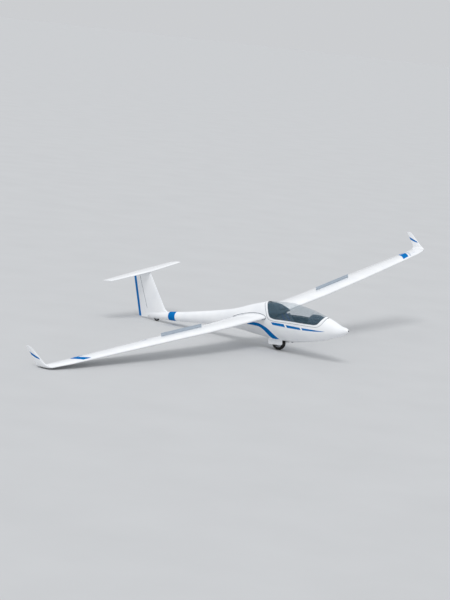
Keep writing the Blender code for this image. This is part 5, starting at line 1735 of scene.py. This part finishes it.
def dial(name, x, z, radius, hand):
    """A round instrument facing aft: bezel, dark face with plain ticks, and a hand."""
    aft = facing_aft(x, PANEL_FACE, z)
    inside = radius - 0.0045
    bezel = ((inside, 0.0), (radius, 0.0), (radius, 0.0030), (radius - 0.0015, 0.0042),
             (inside, 0.0032))
    pieces = [turned("bezel", bezel, aft, BLACK, 48, True),
              turned("face", ((radius - 0.0046, 0.0), (radius - 0.0046, 0.0010)), aft, BLACK, 48)]
    for number in range(12):
        turn = aft @ Matrix.Rotation(2 * pi * number / 12, 4, "Z")
        wide = 0.0011 if number % 3 == 0 else 0.0006
        pieces.append(slab("tick", (-wide / 2, wide / 2), (0.70 * radius, radius - 0.0065),
                           (0.0009, 0.0014), DIAL_WHITE, 0.0001, 1, turn))
    turn = aft @ Matrix.Rotation(hand, 4, "Z")
    point = ((-0.0016, -0.004), (0.0016, -0.004), (0.0009, 0.60 * radius), (0.0, 0.70 * radius),
             (-0.0009, 0.60 * radius))
    pieces.append(loft("hand", [[turn @ Vector((a, b, h)) for a, b in point]
                                for h in (0.0016, 0.0022)], DIAL_WHITE))
    pieces.append(turned("pin", ((0.0030, 0.001), (0.0024, 0.0032), (AXIS, 0.0034)), aft, BLACK,
                         20))
    return joined(name, pieces)


def build_panel():
    """Instrument hood with its face plate, dials, a blank display and knobs, on the pedestal."""
    front, rear = INSTRUMENT_HOOD[0][0], INSTRUMENT_HOOD[-1][0]
    hood = loft("hood", [hood_ring(y) for y in np.linspace(front, rear, 28)], TRIM)
    carry(rounded(hood, 0.004), "instrument_hood")
    plate = loft("panel_plate", [hood_ring(rear, 0.93) + (0.0, step, 0.0)
                                 for step in (0.0002, PANEL_FACE - rear)], BLACK)
    carry(rounded(plate, 0.0008, 2))
    for number, (x, z, radius, hand) in enumerate(DIALS, 1):
        carry(dial(f"dial_{number}", x, z, radius, hand))
    display = slab("display", (-0.005, 0.070), (PANEL_FACE, PANEL_FACE + 0.004), (0.130, 0.190),
                   BLACK, 0.0012)
    boolean(display, [block("screen", (0.000, 0.065), (PANEL_FACE + 0.003, PANEL_FACE + 0.01),
                            (0.140, 0.185), LINER)])
    carry(display)
    profile = ((0.0075, 0.0), (0.0080, 0.0012), (0.0068, 0.0030), (0.0066, 0.0090),
               (0.0055, 0.0102), (AXIS, 0.0105))
    knobs = [turned("knob", profile, facing_aft(x, PANEL_FACE, z), finish, 24)
             for x, z, finish in ((-0.060, 0.088, BLACK), (-0.020, 0.088, BLACK),
                                  (0.020, 0.088, BLACK), (0.060, 0.088, KNOB_RED),
                                  (0.110, 0.095, BLACK))]
    carry(joined("panel_knobs", knobs))

    floor = COCKPIT_FLOOR + FIT_GAP
    under = [(y, float(monotone(INSTRUMENT_HOOD[:, 0], INSTRUMENT_HOOD[:, 1], y)) - FIT_GAP)
             for y in np.linspace(rear, PEDESTAL_FRONT, 9)]
    column = prism("pedestal_column", [(PEDESTAL_FRONT, floor), (rear, floor)] + under,
                   -PEDESTAL_HALF, PEDESTAL_HALF, TRIM)
    carry(rounded(column, 0.006), "pedestal")
    wide, face = (-0.045, 0.045), rear + 0.0003
    pieces = [slab("radio", wide, (face, rear + 0.005), (-0.060, -0.005), BLACK, 0.0015),
              slab("switches", wide, (face, rear + 0.003), (-0.115, -0.075), BLACK, 0.001)]
    tuner = ((0.008, 0.0), (0.008 * 0.9, 0.008), (AXIS, 0.0085))
    pieces += [turned("tuner", tuner, facing_aft(x, rear + 0.005, -0.032), TRIM, 24)
               for x in (-0.034, 0.034)]
    pieces += [slab("toggle", (x - 0.0035, x + 0.0035), (rear + 0.003, rear + 0.012),
                    (-0.098, -0.090), STEEL, 0.001) for x in (-0.030, -0.010, 0.010, 0.030)]
    carry(joined("pedestal_face", pieces))


def build_stick(floor):
    """Control stick: folded boot, bent shaft, waved grip and its button."""
    boot, bar, grip = STICK_RADII
    folds = [(boot, 0.0)]
    for number in range(4):
        shrink = 1 - 0.14 * number
        folds += [(boot * shrink, 0.0030 + 0.0056 * number),
                  (boot * shrink * 0.86, 0.0058 + 0.0056 * number)]
    bellows = turned("stick_boot", folds + [(0.0100, 0.0255), (AXIS, 0.0258)],
                     Matrix.Translation((0.0, STICK_FOOT_Y, floor)), BLACK, 40)
    shaft = tube("stick_shaft", ((0.0, STICK_FOOT_Y, floor + 0.010),
                                 (0.0, STICK_FOOT_Y - 0.006, -0.10), (0.0, STICK_BEND[0], 0.03)),
                 (bar,), STEEL, 24)
    foot, head = Vector((0.0, *STICK_BEND)), Vector((0.0, *STICK_TOP))
    turn = (head - foot).to_track_quat("Z", "Y").to_matrix().to_4x4()
    shares = np.linspace(0.0, 1.0, 36)
    waves = grip * (0.90 + 0.07 * np.cos(2 * pi * shares * 4.0) + 0.03 * shares)
    waves[[0, -1]] *= 0.8
    handle = turned("stick_grip", list(zip(waves, (head - foot).length * shares)),
                    Matrix.Translation(foot) @ turn, BLACK, 32)
    button = turned("stick_button", ((0.0050, 0.0), (0.0046, 0.0022), (AXIS, 0.0028)),
                    Matrix.Translation(head) @ turn, KNOB_RED, 24)
    carry(joined("stick", [bellows, shaft, handle, button]), "control_stick")


def build_pedals(floor):
    """Two rudder pedals with treads and toe straps, on a bar that a stand carries."""
    bar_y, bar_z, bar_half, bar_radius = PEDAL_BAR
    across, along, top = PEDAL_STAND
    pieces = [slab("pedal_stand", across, along, (floor, top), STEEL, 0.004, 3),
              turned("pedal_bar", bar_profile(bar_radius, bar_half, 0.001),
                     across_at((0.0, bar_y, bar_z)), STEEL, 24)]
    plate_x, plate_y, plate_z = PEDAL_PLATE
    face = plate_y[1]
    for side in (PORT, STARBOARD):
        span = sorted(side * x for x in plate_x)
        pieces.append(slab("pedal", span, plate_y, plate_z, STEEL, 0.004, 3))
        for number in range(6):
            z = plate_z[0] + 0.018 + 0.0228 * number
            pieces.append(slab("tread", (span[0] + 0.006, span[1] - 0.006),
                               (face - 0.0005, face + 0.002), (z - 0.003, z + 0.003), SKID,
                               0.0008))
        heel = [(side * x, face + 0.030 * (1 - ((x - 0.09) / 0.035) ** 2), -0.035)
                for x in np.linspace(0.055, 0.125, 9)]
        pieces.append(strap("toe_strap", heel, 0.022, (0.0, 0.0, 1.0)))
    carry(joined("pedals", pieces), "rudder_pedals")


def build_controls():
    """Stick, pedals, side consoles and the airbrake lever."""
    build_stick(COCKPIT_FLOOR + FIT_GAP)
    build_pedals(COCKPIT_FLOOR + FIT_GAP)
    console_x, console_y, console_z = CONSOLE
    for side, word in SIDES:
        body = slab(f"console_box_{word}", sorted(side * x for x in console_x), console_y,
                    console_z, TRIM, 0.004, 3)
        boolean(body, [cockpit_hollow(FIT_GAP)], "INTERSECT")
        carry(body, f"console_{word}")
    top = console_z[1]
    fittings = []
    for x, y, finish, radius in ((0.222, 1.42, KNOB_GREEN, 0.011), (0.222, 1.50, BLACK, 0.008),
                                 (-0.215, 1.22, BLACK, 0.009)):
        profile = ((0.9 * radius, 0.0), (0.55 * radius, 0.004), (0.50 * radius, 0.010),
                   (radius, 0.016), (radius, 0.022), (0.7 * radius, 0.026), (AXIS, 0.027))
        fittings.append(turned("side_knob", profile, Matrix.Translation((x, y, top)), finish, 32))
    fittings.append(slab("trim_gate", (0.205, 0.239), (1.385, 1.455), (top, top + 0.0025), BLACK,
                         0.0008))
    carry(joined("console_fittings", fittings))

    slide_x, slide_y, height = LEVER_SLIDE
    base = top + FIT_GAP
    slide = slab("lever_slide", slide_x, slide_y, (base, base + height), STEEL, 0.003, 3)
    arm_radius, knob_radius = LEVER_RADII
    arm = tube("lever_arm", LEVER_ARM, (arm_radius, 0.85 * arm_radius), STEEL, 20)
    (low, knob_y, knob_z), (high, _, _) = LEVER_KNOB
    profile = [(max(knob_radius * sin(a) ** 0.5, AXIS), (high - low) / 2 * -cos(a))
               for a in np.linspace(0.0, pi, 24)]
    knob = turned("lever_knob", profile, across_at(((low + high) / 2, knob_y, knob_z)), KNOB_BLUE,
                  32)
    carry(joined("brake_lever", [slide, arm, knob]), "airbrake_lever")


# The stage, the light and the camera

FOCAL_PIXELS = 1798.16
FRAME_PIXELS = (450, 600)
CAMERA_AT = Vector((-34.205, -24.806, 8.724))
CAMERA_FORWARD = Vector((0.7550, 0.6305, -0.1799)).normalized()
CAMERA_RIGHT = Vector((0.6268, -0.7746, -0.0841)).normalized()


# Brightness of the sky by the sine of the height over the horizon
SKY = ((0.0, 0.80), (0.10, 0.80), (0.30, 0.90), (1.0, 1.0))
SKY_STRENGTH = 0.78
KEY_STRENGTH = 1.15
KEY_FROM = (-0.55, -0.35, 1.0)


def build_camera():
    """The photograph's viewpoint, fixed to the aircraft and so carried into the parked attitude."""
    data = bpy.data.cameras.new("photo_view")
    camera = link_object("photo_view", data)
    data.sensor_width = 36.0
    data.lens = FOCAL_PIXELS * data.sensor_width / max(FRAME_PIXELS)
    data.clip_end = 2000.0
    up = CAMERA_RIGHT.cross(CAMERA_FORWARD).normalized()
    right = CAMERA_FORWARD.cross(up)
    turn = Matrix((right, up, -CAMERA_FORWARD)).transposed().to_4x4()
    camera.matrix_world = PARKED @ Matrix.Translation(CAMERA_AT) @ turn
    bpy.context.scene.camera = camera


def build_stage():
    """Pale floor, a soft sky that darkens a little towards the horizon, and a broad key light."""
    finish = Finish("studio_floor", 0.95, Specular_IOR_Level=0.2)
    finish.clouded(finish.noise(0.6, 3.0), (200, 201, 202), (203, 204, 205))
    bm = bmesh.new()
    bmesh.ops.create_grid(bm, x_segments=1, y_segments=1, size=900.0)
    from_bmesh("floor", bm, finish.made)

    world = bpy.data.worlds.new("studio")
    bpy.context.scene.world = world
    world.use_nodes = True
    tree = world.node_tree
    ramp = tree.nodes.new("ShaderNodeValToRGB")
    rise = tree.nodes.new("ShaderNodeSeparateXYZ")
    tree.links.new(tree.nodes.new("ShaderNodeTexCoord").outputs["Generated"], rise.inputs["Vector"])
    tree.links.new(rise.outputs["Z"], ramp.inputs["Fac"])
    tree.links.new(ramp.outputs["Color"], tree.nodes["Background"].inputs["Color"])
    while len(ramp.color_ramp.elements) < len(SKY):
        ramp.color_ramp.elements.new(0.5)
    for element, (height, shade) in zip(ramp.color_ramp.elements, SKY):
        element.position = height
        element.color = (shade * 0.97, shade * 0.99, shade * 1.02, 1.0)
    tree.nodes["Background"].inputs["Strength"].default_value = SKY_STRENGTH

    sun = bpy.data.lights.new("key_light", "SUN")
    sun.energy = KEY_STRENGTH
    sun.angle = radians(24.0)
    key = link_object("key_light", sun)
    key.rotation_euler = Vector(KEY_FROM).to_track_quat("Z", "Y").to_euler()
    bpy.context.scene.view_settings.view_transform = "Standard"


build_camera()
build_stage()
build_fuselage()
build_fuselage_films()
build_painted_joint_shade()
NEAR_SKIN = fuselage_loft("near_skin", -FIT_GAP, (1.5, 4.2))
for SIDE, WORD in SIDES:
    build_wing(SIDE, WORD, NEAR_SKIN)
    build_winglet(SIDE, WORD)
    build_tip_skid(SIDE, WORD)
build_aileron_seals()
build_tip_films()
build_fin_and_rudder()
build_rudder_films()
build_stabilizer()
build_canopy_hinge()
build_main_wheel()
build_fork()
build_gear_doors(NEAR_SKIN)
build_tail_wheel()
build_tow_hook(NEAR_SKIN)
discard(NEAR_SKIN)
build_seat()
build_deck()
build_panel()
build_controls()
